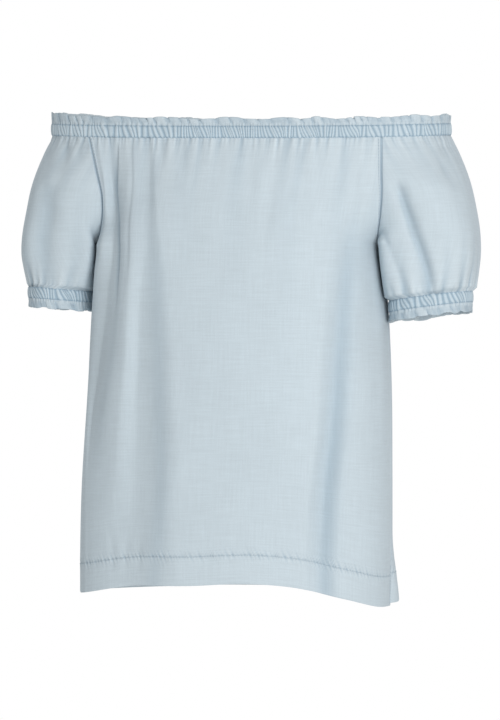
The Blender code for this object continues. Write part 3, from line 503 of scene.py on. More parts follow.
def quarter_curve(half_width, depth, roundness, edge_y):
    """Right half of a body section, from its middle out to where it reaches edge_y."""
    reach = min(abs(edge_y) / depth, 1.0)
    last_angle = math.acos(reach ** (roundness / 2))
    angles = np.linspace(0.0, last_angle, SECTION_SAMPLES)
    x = half_width * np.sin(angles) ** (2 / roundness)
    y = depth * np.cos(angles) ** (2 / roundness)
    return np.stack([x, y], axis=1)


def from_middle(shares, length, missing):
    """Distances from the middle of a section at shares of the way to its seam.

    Only the cloth by the seam crowds up where the seam turns under the arm and the section is short of a part.
    """
    whole = length + missing
    power = min(max(SEAM_CROWDING * whole / max(missing, 0.001), 1.0), MOST_CROWDING)
    return whole * shares - missing * shares**power


def body_section(face, level, places):
    """Points across one panel at a level, seen from above, from its left edge to its right edge."""
    left, right, share = armhole_place(level)
    edge_y = abs(seam_depth_at_ring(face)) * share
    measures = body_value("half_width", level), face_depth(face, level), body_value("roundness", level)
    to_right = quarter_curve(*measures, edge_y)
    to_left = to_right * (-1, 1)
    curve = np.concatenate([to_left[::-1], to_right[1:]]) * (1, face) + (body_value("centre_x", level), 0.0)
    half = arc_lengths(curve)[-1] / 2
    curve = evenly(curve, 0.5 + np.sign(places - 0.5) * from_middle(np.abs(2 * places - 1), half, edge_y) / half / 2)
    if level > UNDERARM:
        for end, seam_x in ((0, left), (-1, right)):
            away = np.linalg.norm(curve - curve[end], axis=1) / ARMHOLE_PULL_REACH
            curve[:, 0] += (seam_x - curve[end, 0]) * ease(0.0, 1.0, 1 - away)
    return curve


def flat_normals(curve, closed=False):
    """Level unit vectors square to a curve seen from above, on the right-hand side of its run."""
    if closed:
        run = np.roll(curve, -1, axis=0) - np.roll(curve, 1, axis=0)
    else:
        run = np.gradient(curve, axis=0)
    normals = np.stack([run[:, 1], -run[:, 0]], axis=1)
    return normals / np.linalg.norm(normals, axis=1)[:, None]


def fold_course(fold, levels):
    """How far along a main fold each level is, from 0 to 1, and how deep the fold is there."""
    along = (fold["start_height"] - levels) / (fold["start_height"] - fold["end_height"])
    along = np.clip(along, 0.0, 1.0)[:, None]
    lost = (1 - fold["depth_left_at_end"]) * ease(FOLD_FADES_FROM, 1.0, along)
    return along, fold["depth"] * ease(0.0, FOLD_FULL_FROM, along) * (1 - lost)


def body_fold_depth(folds, x, levels):
    """Depth of all the main folds of a panel, for a grid of x with one row a level."""
    total = np.zeros_like(x)
    for fold in folds:
        along, depth = fold_course(fold, levels)
        place = fold["start_x"] * (1 - along) * (1 - 2 * along) + fold["middle_x"] * 4 * along * (1 - along)
        place = place + fold["end_x"] * along * (2 * along - 1)
        total += depth * hump(x - place, np.where(x < place, fold["reach_left"], fold["reach_right"]))
    return total


def sleeve_fold_depth(folds, x, y, levels):
    """Depth of all the main folds of a sleeve, with x measured outwards from the middle of the top."""
    total = np.zeros_like(x)
    for fold in folds:
        along, depth = fold_course(fold, levels)
        place = fold["start_x"] + (fold["end_x"] - fold["start_x"]) * along
        total += depth * hump(x - place, fold["reach"]) * ease(FACE_EDGE, FACE_FULL, y * fold["face"])
    return total


def crease_depth(line, depth, reach_left, reach_right, fade_in, fade_out, x, levels):
    """Depth of one finer crease over a grid of x with one row a level."""
    heights, places = np.array(line, float).T
    place = smooth_through(heights[::-1], places[::-1], levels)[:, None]
    along = ((heights[0] - levels) / (heights[0] - heights[-1]))[:, None]
    strength = np.where(along < 0, 0.0, ease(0.0, fade_in, along) * ease(0.0, fade_out, 1 - along))
    return depth * hump(x - place, np.where(x < place, reach_left, reach_right)) * strength


def relief_across(x, levels):
    """How far the front stands off its smooth form between its lines, and the painted shade of its folds."""
    heights = np.array([row[0] for row in FRONT_LINE_PLACES], float)
    order = np.argsort(heights)
    rows = []
    for table in (FRONT_LINE_PLACES, FRONT_LINE_HEIGHTS):
        lines = np.array([row[1] for row in table], float)[order].T
        rows.append(np.stack([smooth_through(heights[order], line, levels) for line in lines], axis=1))
    place, size = rows
    span = np.diff(place, axis=1)
    rise = np.diff(size, axis=1) / span
    same_way = rise[:, :-1] * rise[:, 1:] > 0
    both = np.where(same_way, rise[:, :-1] + rise[:, 1:], 1.0)
    slope = np.zeros_like(size)
    slope[:, 1:-1] = np.where(same_way, 2 * rise[:, :-1] * rise[:, 1:] / both, 0.0)
    total = np.zeros_like(x)
    for line in range(span.shape[1]):
        left, right, wide = place[:, line, None], place[:, line + 1, None], span[:, line, None]
        low, high = size[:, line, None], size[:, line + 1, None]
        step = (x - left) / wide
        pull = slope[:, line, None] * (1 - step) - slope[:, line + 1, None] * step
        curve = low + (high - low) * step**2 * (3 - 2 * step) + wide * step * (1 - step) * pull
        total = np.where((x >= left) & (x < right), curve, total)
    # Painted shade along the sharp fold and on the walls of other folds
    fold = place[:, SHARP_FOLD, None]
    depth = ease(*FOLD_SHADE_FROM, -size[:, SHARP_FOLD, None]) * ease(*SHARP_FOLD_ENDS, levels)[:, None]
    shade = SHARP_FOLD_SHADE * depth * hump(x - fold, np.where(x < fold, *SHARP_FOLD_REACH))
    for line, share, reach, strength in SHADED_WALLS:
        middle = (place[:, line] + share * span[:, line])[:, None]
        depth = ease(*FOLD_SHADE_FROM, np.abs(size[:, line, None]))
        shade = shade + strength * depth * hump(x - middle, reach)
    return total, shade


class UnevenWave:
    """A wave along a seam whose crests differ in spacing and size, closed on itself on a ring."""

    def __init__(self, length, pitch, unevenness, seed, closed=False):
        random = np.random.default_rng(seed)
        places = [0.0]
        while places[-1] < length:
            here = pitch(places[-1]) if callable(pitch) else pitch
            places.append(places[-1] + here * (1 + unevenness * random.uniform(-1, 1)))
        self.crests = np.array(places) * (length / places[-1])
        self.sizes = random.uniform(0.35, 1.0, len(places))
        if closed:
            self.sizes[-1] = self.sizes[0]
        self.length = length
        self.closed = closed

    def phase(self, along):
        """Number of crests passed, as a number that grows steadily along the seam."""
        if self.closed:
            laps = np.floor(along / self.length)
            within = along - laps * self.length
            return np.interp(within, self.crests, np.arange(len(self.crests))) + laps * (len(self.crests) - 1)
        return np.interp(along, self.crests, np.arange(len(self.crests)))

    def size(self, along):
        """Size of the nearest crests."""
        count = len(self.crests) - 1
        spots = np.mod(self.phase(along), count) if self.closed else self.phase(along)
        return np.interp(spots, np.arange(count + 1), self.sizes)

    def height(self, along):
        """The wave itself, from -1 in a deep trough to 1 on a high crest."""
        return np.cos(2 * math.pi * self.phase(along)) * self.size(along)


def gathers_running_out(rows, along, away, seed, round_by=None):
    """Gathers that leave a row of elastic close together and run out as fewer, wider and softer folds."""
    total = np.zeros(np.broadcast(along, away).shape)
    length = round_by or 2 * HALF_CLOTH
    closed = round_by is not None
    for step, (pitch, size, run, whole_at) in enumerate(rows):
        wave = UnevenWave(length, pitch, 0.45, seed + step, closed)
        longer = 0.6 + 0.8 * UnevenWave(length, pitch * 1.7, 0.4, seed + step + 50, closed).size(along)
        strength = np.exp(-((away / (run * longer)) ** 1.6))
        if whole_at > 0:
            strength = strength * ease(-whole_at, whole_at, away)
        total = total + size * wave.height(along) * strength
    return total


def crumple(across, down, size, shortest, seed):
    """Low, soft unevenness of washed cloth, mostly in upright waves, over a grid in millimetres."""
    random = np.random.default_rng(seed)
    total = np.zeros(np.broadcast(across, down).shape)
    for step in range(CRUMPLE_WAVES):
        length = shortest * (1 + step / 7)
        turn = random.normal(0.0, 0.35)
        start = random.uniform(0.0, 2 * math.pi)
        run = across * math.cos(turn) + down * math.sin(turn)
        total = total + np.sin(2 * math.pi * run / length + start) * random.uniform(0.3, 1.0)
    return total * size / 4


def panel_levels():
    """Levels of all the rows of a panel, from inside the casing down to the hem stitches."""
    return np.concatenate([armhole_levels(), levels_between(UNDERARM, HEM_SEAM_LEVEL, ROW_SPACING)])


def hem_levels():
    """Levels of the rows of a hem, closer together at its stitches and at its fold."""
    return np.concatenate(
        [
            np.arange(HEM_SEAM_LEVEL, HEM_SEAM_LEVEL - 5, -1.0),
            levels_between(HEM_SEAM_LEVEL - 4, HEM_LEVEL + 2, ROW_SPACING),
            [HEM_LEVEL + 1.2, HEM_LEVEL + 0.5, HEM_LEVEL],
        ]
    )


def panel_surface(face, levels):
    """Finished cloth surface of one panel: points, level outward vectors and painted shading, one row a level."""
    gather_seed, crumple_seed, pucker_seed, stitch_seed = PANEL_SEEDS[face]
    places = np.linspace(0.0, 1.0, PANEL_COLUMNS[face] + 1)
    tilt = ring_height(*body_section(face, ARMHOLE_TOP, places).T)
    drop = column_value(HEM_DROP_COLUMNS, HEM_DROP_ROWS, "front_drop" if face < 0 else "back_drop", places)
    curves = np.array([body_section(face, level, places) for level in levels])
    outward = np.array([flat_normals(curve) * -face for curve in curves])
    x = curves[:, :, 0]
    low = np.array(levels)[:, None]
    if face < 0:
        stands, fold_shade = relief_across(x, levels)
        folds = -stands
    else:
        folds = body_fold_depth(named_rows(FOLD_COLUMNS, BACK_FOLDS), x, levels)
        fold_shade = 0.0
    for crease in FRONT_CREASES if face < 0 else BACK_CREASES:
        folds = folds + crease_depth(*crease, x, levels)
    arcs = np.array([arc_lengths(curve) for curve in curves])
    middles = zip(body_value("centre_x", np.array(levels)), curves, arcs)
    across = arcs - np.array([np.interp(middle, curve[:, 0], arc) for middle, curve, arc in middles])[:, None]
    along = across + HALF_CLOTH
    gathers = gathers_running_out(NECK_GATHERS_BELOW, along, np.maximum(ARMHOLE_TOP - low, 0.0), gather_seed)
    soft = crumple(x, low, CRUMPLE_SIZE, PANEL_CRUMPLE, crumple_seed)
    from_stitches = low - HEM_SEAM_LEVEL
    pucker = UnevenWave(2 * HALF_CLOTH, PUCKER_PITCH, 0.5, pucker_seed)
    puckers = PUCKER_SIZE * pucker.height(along + 0.5 * from_stitches) * hump(from_stitches, PUCKER_RUN)
    uneven = 0.55 + 0.45 * UnevenWave(2 * HALF_CLOTH, 13.0, 0.6, stitch_seed).height(along)
    stitch_dip = -STITCH_DIP * uneven * hump(from_stitches, STITCH_DIP_REACH)
    from_edge = np.minimum(arcs, arcs[:, -1:] - arcs)
    near_edge = ease(0.0, EDGE_SHARE, places) * ease(0.0, EDGE_SHARE, 1 - places)
    at_armhole = low > UNDERARM
    sewn = low > SLIT_TOP
    keeps = np.where(at_armhole, near_edge, 0.35 + 0.65 * near_edge)
    felled = FELLED_RIDGE * hump(from_edge - FELLED_AT, FELLED_REACH)
    felled = (felled - SEAM_DIP * hump(from_edge, 1.0) * ~at_armhole) * sewn
    out_by = -folds * np.where(at_armhole, near_edge, 1.0) + (gathers + soft) * keeps
    out_by = out_by + puckers + stitch_dip + felled
    curves = curves + outward * out_by[:, :, None]
    curves[:, :, 1] -= face * armhole_groove(levels, from_edge)
    swing = SLIT_SWING[face] * ease(SLIT_TOP, HEM_LEVEL, low)
    curves[:, :, 1] += face * swing * (1 - ease(0.0, SLIT_SWING_SHARE, np.minimum(places, 1 - places)))
    if face > 0:
        tuck = SLIT_TUCK * hump(from_edge, SLIT_TUCK_REACH) * ease(SLIT_TOP, SLIT_TOP - 12, low)
        from_right = (arcs[:, -1:] - arcs) / SLIT_BULGE_REACH
        bulge = BACK_SLIT_FLARE_RIGHT * from_right * np.exp(1 - from_right) * (from_right < 8)
        bulge = bulge * ease(SLIT_BULGE_TOP, HEM_LEVEL - 10, low)
        curves += outward * (bulge - tuck)[:, :, None]
    height = low + tilt * neck_influence(low) + drop * ease(HEM_DROP_FROM, HEM_LEVEL, low)
    # Painted shading: darker in gather valleys, at the hem's stitch dip, in the seams and on the walls of front
    # folds, lighter on gather and pucker crests and on the felled ridge
    painted_shading_and_wear = gathers * keeps / 0.9 + puckers / 0.5 + stitch_dip * 0.9 + felled * 0.8 - fold_shade
    painted_shading_and_wear = painted_shading_and_wear - SEAM_SHADE * hump(from_edge, SEAM_SHADE_REACH) * sewn
    return {
        "points": np.dstack([curves, height]),
        "outward": outward,
        "painted_shading_and_wear": painted_shading_and_wear,
        "cloth": np.dstack([across * MM, np.broadcast_to(low * MM, x.shape)]),
        "from_edge": from_edge,
    }


def ring_points(angles):
    """Points of the neckline at angles that start at the middle of the front."""
    power = 2 / RING_ROUNDNESS
    turned = np.cos(angles)
    depth = np.where(turned > 0, RING_FRONT_DEPTH, RING_BACK_DEPTH)
    x = RING_HALF_WIDTH * signed_power(np.sin(angles), power)
    return np.stack([x, -depth * signed_power(turned, power)], axis=1)


def ring_arc(places):
    """The stretch of neckline over a sleeve, from the front seam to the back seam, x measured outwards."""
    start = math.asin((ARMHOLE_SEAM_X / RING_HALF_WIDTH) ** (RING_ROUNDNESS / 2))
    arc = ring_points(np.linspace(start, math.pi - start, 2 * SECTION_SAMPLES + 1))
    front = evenly(arc[: SECTION_SAMPLES + 1], places[places <= 0.5] * 2)
    back = evenly(arc[SECTION_SAMPLES:], places[places > 0.5] * 2 - 1)
    return np.concatenate([front, back])


def puff_curve(seam_x, seam_y, outer_x, half_depth, roundness, face):
    """Half of a sleeve section, from its seam on one face out to its outermost point."""
    reach = min(abs(seam_y) / half_depth, 1.0)
    turn = (1 - reach**roundness) ** (1 / roundness)
    half_width = (outer_x - seam_x) / (1 + turn)
    centre = outer_x - half_width
    start = -math.acos(reach ** (roundness / 2))
    angles = np.linspace(start, math.pi / 2, SECTION_SAMPLES)
    power = 2 / roundness
    x = centre + half_width * signed_power(np.sin(angles), power)
    y = face * half_depth * np.abs(np.cos(angles)) ** power
    return np.stack([x, y], axis=1)


def beside_body(side, level, curve, seam_y):
    """Lets the inner side of a sleeve lie along the body instead of curving away from it."""
    roundness = body_value("roundness", level)
    x, y = curve.T
    reach = np.minimum(np.abs(y) / face_depth(y.mean(), level), 1.0)
    body_x = body_value("centre_x", level) * side
    body_x = body_x + body_value("half_width", level) * (1 - reach**roundness) ** (1 / roundness)
    middle = (x[0] + x[-1]) / 2
    inner = np.clip((middle - x) / (middle - x[0]), 0.0, 1.0) ** 0.35
    free = 1 - hump(np.abs(y) - abs(seam_y), BESIDE_BODY_REACH)
    share = BESIDE_BODY_SHARE[side] * ease(BESIDE_BODY_FROM[side], UNDERARM, level)
    share = share * (1 - BESIDE_BODY_LOST * ease(*BESIDE_BODY_ENDS, level))
    moved = np.maximum(x - (body_x + BESIDE_BODY_GAP), 0.0) * inner * free * share
    return np.stack([x - moved, y], axis=1)


def sleeve_section(side, level, places):
    """Points round one sleeve at a level, x measured outwards, from the front seam to the back seam.

    Gives also the shares of the way round at which they lie.
    """
    outer_x = sleeve_value("outer_x", level)
    left, right, share = armhole_place(level)
    seam_x = right if side > 0 else -left
    if level < UNDERARM:
        seam_x = sleeve_value("right_inner_x" if side > 0 else "left_inner_x", level)
    halves, moved = [], []
    for face in (-1, 1):
        seam_y = seam_depth_at_ring(face) * share
        half = puff_curve(
            seam_x, seam_y, outer_x, sleeve_value("half_depth", level), sleeve_value("roundness", level), face
        )
        half = beside_body(side, level, half, seam_y)
        length = arc_lengths(half)[-1]
        to_outermost = 1 - 2 * places[places <= 0.5] if face < 0 else 2 * places[places > 0.5] - 1
        shares = 1 - from_middle(to_outermost, length, abs(seam_y)) / length
        halves.append(evenly(half, shares))
        moved.append(shares / 2 if face < 0 else 1 - shares / 2)
    puff = np.concatenate(halves)
    moved = np.clip(np.concatenate(moved), 0.0, 1.0)
    if level > SLEEVE_PUFF_FULL_AT:
        arc = ring_arc(moved)
        spread = (outer_x - seam_x) / (RING_HALF_WIDTH - ARMHOLE_SEAM_X)
        arc[:, 0] = seam_x + (arc[:, 0] - ARMHOLE_SEAM_X) * spread
        arc[:, 1] *= share
        mix = ease(ARMHOLE_TOP, SLEEVE_PUFF_FULL_AT, level)
        puff = arc * (1 - mix) + puff * mix
    return puff, moved


def cuff_values(side):
    """The row of the cuff table for one side, by name."""
    return next(row for row in named_rows(CUFF_COLUMNS, CUFF_ROWS) if row["side"] == side)


def cuff_centre(cuff):
    """Outward place of the middle of a cuff."""
    return (cuff["inner_x"] + cuff["outer_x"]) / 2


def cuff_loop(side, places):
    """Points round a cuff, x measured outwards, from its innermost point by the front and round to it again."""
    cuff = cuff_values(side)
    half_width = (cuff["outer_x"] - cuff["inner_x"]) / 2
    angles = np.linspace(0.0, 2 * math.pi, 4 * SECTION_SAMPLES + 1)
    power = 2 / CUFF_ROUNDNESS
    x = cuff_centre(cuff) - half_width * signed_power(np.cos(angles), power)
    y = -cuff["half_depth"] * signed_power(np.sin(angles), power)
    return evenly(np.stack([x, y], axis=1), places)


def cuff_height(side, x, below_centre):
    """Height of the cuff's tilted bands at an outward place."""
    cuff = cuff_values(side)
    return cuff["centre_height"] + cuff["rise_outward"] * (x - cuff_centre(cuff)) - below_centre


def sleeve_row(side, level, places):
    """Points round a sleeve at one level and their heights, which tilt more and more like the cuff."""
    cuff = cuff_values(side)
    curve, moved = sleeve_section(side, level, places)
    arc = ring_arc(moved)
    height = level + ring_height(arc[:, 0] * side, arc[:, 1]) * neck_influence(level)
    lean = ease(UNDERARM, SLEEVE_LAST_LEVEL, level)
    lowered = cuff["centre_height"] - CUFF_ROWS[0][1]
    height = height + lean * (lowered + cuff["rise_outward"] * (curve[:, 0] - cuff_centre(cuff)))
    return curve, height


def sleeve_surface(side):
    """Finished cloth surface of one sleeve, from inside the neck casing down to inside its cuff."""
    neck_seed, cuff_seed, crumple_seed = SLEEVE_SEEDS
    places = np.linspace(0.0, 1.0, SLEEVE_COLUMNS_ROUND + 1)
    armhole = armhole_levels()
    below = levels_between(UNDERARM, SLEEVE_LAST_LEVEL, ROW_SPACING)
    levels = np.concatenate([armhole, below])
    rows = [sleeve_row(side, level, places) for level in levels]
    curves = [row[0] for row in rows]
    heights = [row[1] for row in rows]
    cuff_curve = cuff_loop(side, places)
    cuff_top = cuff_height(side, cuff_curve[:, 0], -CUFF_HALF_HEIGHT)
    last_curve, last_height = curves[-1], heights[-1]
    tucked = TUCKED_IN / np.maximum(last_height - cuff_top, 1.0)
    for share in (0.25, 0.5, 0.75, 1.0):
        extra = tucked * (share == 1.0)
        curves.append(last_curve + (cuff_curve - last_curve) * share)
        heights.append(last_height + (cuff_top - last_height) * (share + extra))
    levels = np.concatenate([levels, SLEEVE_LAST_LEVEL - np.array([1.0, 2.0, 3.0, 4.0])])
    curves = np.array(curves)
    heights = np.array(heights)
    under = len(armhole) - 1
    outward = np.array([flat_normals(curve) for curve in curves])
    outward[under:, 0] = (-1.0, 0.0)
    outward[under:, -1] = (-1.0, 0.0)
    x, y = curves[:, :, 0], curves[:, :, 1]
    low = levels[:, None]
    main_folds = [fold for fold in named_rows(SLEEVE_FOLD_COLUMNS, SLEEVE_FOLDS) if fold["side"] == side]
    folds = sleeve_fold_depth(main_folds, x, y, levels)
    for its_side, face, *crease in SLEEVE_CREASES:
        if its_side == side:
            folds = folds + ease(FACE_EDGE, FACE_FULL, y * face) * crease_depth(*crease, x, levels)
    arcs = np.array([arc_lengths(curve) for curve in curves])
    across = arcs - arcs[:, SLEEVE_COLUMNS_ROUND // 2, None]
    cuff_length = arcs[-1, -1]
    round_cuff = across * cuff_length / np.where(low < UNDERARM, arcs[:, -1:], arcs[under + 1, -1]) + cuff_length / 2
    below_neck = np.maximum(ARMHOLE_TOP - low, 0.0)
    near_neck = gathers_running_out(NECK_GATHERS_BELOW[:3], across + HALF_CLOTH, below_neck, neck_seed + side)
    above_cuff = np.maximum(heights - cuff_top[None, :], 0.0)
    near_cuff = gathers_running_out(CUFF_GATHERS_ABOVE, round_cuff, above_cuff, cuff_seed + side, cuff_length)
    soft = crumple(x + y, low, CRUMPLE_SIZE, SLEEVE_CRUMPLE, crumple_seed + side)
    edge = ease(0.0, EDGE_SHARE, places) * ease(0.0, EDGE_SHARE, 1 - places)
    at_armhole = low >= UNDERARM
    by_body = ease(0.0, 30.0, x - x.min(axis=1)[:, None])
    room = np.where(at_armhole, edge, 0.15 + 0.85 * by_body)
    out_by = (near_neck + near_cuff + soft) * room - folds * np.where(at_armhole, edge, by_body)
    from_seam = np.minimum(arcs, arcs[:, -1:] - arcs)
    shaded_seam = GROOVE_SHADE * hump(from_seam, GROOVE_REACH) * at_armhole
    out_by[-1] *= 0.5
    curves = curves + outward * out_by[:, :, None]
    curves[:, :, 1] -= np.where(places > 0.5, 1, -1) * armhole_groove(levels, from_seam)
    points = np.dstack([curves * (side, 1), heights])
    outward = outward * (side, 1)
    # Painted shading: darker in gather valleys, in the armhole seam and in deep folds, lighter on gather crests
    painted_shading_and_wear = (near_neck + near_cuff) * room / 0.9 - shaded_seam - 0.14 * np.maximum(folds - 1.5, 0.0)
    cloth = np.dstack([across * MM, np.broadcast_to(low * MM, x.shape)])
    return {"points": points, "outward": outward, "painted_shading_and_wear": painted_shading_and_wear, "cloth": cloth, "joined_from": under}


def neck_loop(count):
    """Evenly spaced points round the whole neckline, starting at the middle of the front."""
    whole = ring_points(np.linspace(0.0, 2 * math.pi, 8 * SECTION_SAMPLES + 1))
    return evenly(whole, np.arange(count) / count)


class Band:
    """One ring of elastic casing with its frill: where it lies, and the gathers that both share."""

    def __init__(self, loop, rise, half_height, up, pitch, seed, lean):
        self.loop = loop
        self.rise = rise
        self.half_height = half_height
        self.up = up
        self.normals = flat_normals(loop, True)
        along = arc_lengths(np.concatenate([loop, loop[:1]]))
        self.along, self.length = along[:-1], along[-1]
        self.run = np.stack([-self.normals[:, 1], self.normals[:, 0]], axis=1)
        self.gathers = UnevenWave(self.length, pitch, 0.55, seed, closed=True)
        self.leans = UnevenWave(self.length, LEAN_PITCH, 0.5, seed + 1, closed=True)
        self.bunches = UnevenWave(self.length, BUNCH_PITCH, 0.5, seed + 2, closed=True)
        self.lean = lean
        self.seed = seed
        self.contrast = BAND_GATHER_SHADE[up]
        # Painted light on the neck casing's left end
        self.painted_light = BAND_PAINTED_LIGHT_LEFT * ease(*BAND_PAINTED_LIGHT_FROM, loop[:, 0]) * (up > 0)

    def ridge(self, level):
        """Gathers on the elastic at a level: 1 on a crest and 0 in the valley between two."""
        lean = self.lean[0] + self.lean[1] * self.leans.height(self.along)
        spot = self.along + lean * level
        shape = (0.5 + 0.5 * np.cos(2 * math.pi * self.gathers.phase(spot))) ** 0.5
        bunched = 0.5 + 0.5 * self.bunches.height(spot)
        return shape * (0.35 + 0.35 * self.gathers.size(spot) + 0.3 * bunched)

    def out_by(self, level):
        """How far the casing stands out at a level: pinched at both rows of stitches, full between them."""
        row = self.half_height - STITCH_ROW_INSET
        inside = max(1 - abs(level / row) ** 2.6, 0.0) ** 0.5
        crest = BAND_VALLEY + (BAND_CREST - BAND_VALLEY) * self.ridge(level)
        pinched = BAND_PINCH + 0.35 * self.ridge(level)
        return pinched + (crest - pinched) * inside

    def place(self, offset, level):
        """Points of the ring at an offset outwards and a level."""
        flat = self.loop + self.normals * np.broadcast_to(offset, (len(self.loop),))[:, None]
        return np.column_stack([flat, self.rise + level])


def casing_surface(band):
    """Closed tube of a casing: gathered outside, softer inside."""
    outer_rows, inner_rows = CASING_ROWS
    edge = band.half_height - 0.05
    row = band.half_height - STITCH_ROW_INSET
    points, painted_shading_and_wear, cloth = [], [], []
    for level in -edge * np.cos(np.linspace(0.0, math.pi, outer_rows)):
        ridge = band.ridge(level)
        points.append(band.place(band.out_by(level), level + 1.1 * (ridge - 0.5) * (level / edge) ** 3))
        # Painted shading: darker in the gathers' valleys and along the rows of stitches, lighter on the crests and at
        # the neck's left end
        painted_shading_and_wear.append((ridge - 0.57) * band.contrast + band.painted_light - 0.7 * hump(abs(level) - row, 0.9))
        cloth.append(level)
    for level in np.linspace(edge, -edge, inner_rows):
        ridge = band.ridge(level)
        points.append(band.place(-BAND_INSIDE - 0.5 * ridge * (1 - abs(level / edge)) ** 0.3, level))
        # The inside of the casing is painted darker
        painted_shading_and_wear.append(-0.5 + 0.3 * ridge)
        cloth.append(2 * edge + 1 - level)
    return ring_surface(band, points, outer_rows, painted_shading_and_wear, cloth)


def ring_surface(band, points, outer_rows, painted_shading_and_wear, levels):
    """A closed tube round a band, with the closing column and row of cloth coordinates that its mesh needs."""
    points = np.array(points)
    outward = np.broadcast_to(band.normals, points.shape[:2] + (2,)).copy()
    outward[outer_rows:] *= -1
    across = np.concatenate([band.along, [band.length]]) * 1.5 * MM
    down = np.array(levels + [levels[-1] + 1.0]) * MM
    cloth = np.dstack(np.meshgrid(across, down))
    painted_shading_and_wear = np.array(painted_shading_and_wear)
    return {"points": points, "outward": outward, "painted_shading_and_wear": painted_shading_and_wear, "cloth": cloth, "around": True, "tube": True}


def frill_surface(band, height, pitch, swing, lean, tall=0.0):
    """Ruffle that leaves the stitches in the casing's own gathers and opens into fewer, leaning folds."""
    folds = UnevenWave(band.length, pitch, 0.75, band.seed + 5, closed=True)
    small = UnevenWave(band.length, pitch * 0.4, 0.5, band.seed + 7, closed=True)
    slow = UnevenWave(band.length, 44.0, 0.6, band.seed + 6, closed=True)
    total = height + TUCKED_IN
    start = band.up * (band.half_height - TUCKED_IN)
    layers = {1: [], -1: []}
    painted_shading_and_wear, cloth = [], []
    for share in np.linspace(0.0, 1.0, FRILL_ROWS) ** 0.9:
        spot = band.along + lean * total * share * band.up + np.sign(lean) * swing * 0.6 * small.height(band.along)
        size = folds.size(spot)
        wave = (2 * np.abs(np.cos(math.pi * folds.phase(spot))) ** 0.5 - 1.1) * (0.05 + 1.05 * size**1.8)
        fine = small.height(spot)
        rise = (0.1 * (wave - 0.2) + 0.13 * slow.height(band.along) + tall) * share
        level = band.rise + start + band.up * total * share * (1 + rise)
        tight = (band.ridge(band.up * band.half_height) - 0.5) * 1.6 * (1 - ease(0.05, 0.7, share))
        out = swing * wave * share**0.75 + 0.55 * fine * share * (1.2 - share) + tight
        half = FRILL_CLOTH / 2 * (1.0 if share < 1.0 else 0.35)
        sway = 0.9 * swing * size * np.sin(2 * math.pi * folds.phase(spot)) * share
        for layer, rows in layers.items():
            flat = band.loop + band.run * sway[:, None] + band.normals * (out + layer * half)[:, None]
            rows.append(np.column_stack([flat, level]))
        # Painted shading of the frill: darker in its folds' valleys and at its foot by the casing, lighter on its
        # crests; its inside the other way round
        shade = (1.6 * wave - 1.2) * ease(0.05, 0.6, share) + 0.3 * fine + tight * 0.8
        painted_shading_and_wear.append(shade - 0.9 * (1 - ease(0.0, 0.22, share)))
        cloth.append(share * total)
    points = layers[1] + layers[-1][::-1]
    painted_shading_and_wear += [-shade for shade in painted_shading_and_wear[::-1]]
    cloth += [2 * total - down for down in cloth[::-1]]
    return ring_surface(band, points, FRILL_ROWS, painted_shading_and_wear, cloth)


def hem_surface(face):
    """Turned hem of one panel: its outside runs on from the panel and its inside is the turned-up layer."""
    levels = hem_levels()
    sheet = panel_surface(face, levels)
    points, outward = sheet["points"], sheet["outward"]
    rolled = ease(HEM_LEVEL + 2.5, HEM_LEVEL - 0.3, levels) ** 2
    points[:, :, :2] -= outward * (rolled * HEM_CLOTH * 0.42)[:, None, None]
    inner = points.copy()
    inner[:, :, :2] -= outward * (HEM_CLOTH * (1 - rolled * 0.8))[:, None, None]
    cloth = sheet["cloth"]
    back = cloth.copy()
    back[:, :, 1] = 2 * HEM_LEVEL * MM - back[:, :, 1]
    cloth = np.concatenate([cloth, back[::-1]])
    cloth = np.concatenate([cloth, cloth[-1:] + (0.0, -0.001)])
    return {
        "points": np.concatenate([points, inner[::-1]]),
        "outward": np.concatenate([outward, -outward[::-1]]),
        "painted_shading_and_wear": np.concatenate([sheet["painted_shading_and_wear"] + 0.08, np.zeros_like(sheet["painted_shading_and_wear"])]),
        "cloth": cloth,
        "tube": True,
        "from_edge": sheet["from_edge"],
        "outer": points,
        "outer_outward": outward,
    }


def add_mesh(name, vertices, faces, material, uvs=None, painted_shading_and_wear=None):
    """Makes one piece that rides on the top, from points in millimetres."""
    mesh = bpy.data.meshes.new(name)
    mesh.from_pydata((vertices * MM).tolist(), [], faces.tolist())
    mesh.polygons.foreach_set("use_smooth", np.ones(len(faces), bool))
    if uvs is not None:
        layer = mesh.uv_layers.new(name="cloth")
        layer.data.foreach_set("uv", uvs.reshape(-1).astype(np.float32))
    # Painted shading and wear, read by the cloth's material: darker in valleys, lighter on ridges
    if painted_shading_and_wear is not None:
        attribute = mesh.attributes.new("painted_shading_and_wear", "FLOAT", "POINT")
        attribute.data.foreach_set("value", painted_shading_and_wear.astype(np.float32))
    mesh.validate()
    mesh.materials.append(material)
    piece = bpy.data.objects.new(name, mesh)
    bpy.context.scene.collection.objects.link(piece)
    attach(piece, "root")
    return piece


def quad_corners(grid):
    """The four corners of each cell of a grid, in order round it."""
    return np.stack([grid[:-1, :-1], grid[:-1, 1:], grid[1:, 1:], grid[1:, :-1]], axis=2)


def facings(spots, quads):
    """Vectors square to faces of four corners, twice as long as their area."""
    return np.cross(spots[quads[:, 2]] - spots[quads[:, 0]], spots[quads[:, 3]] - spots[quads[:, 1]])


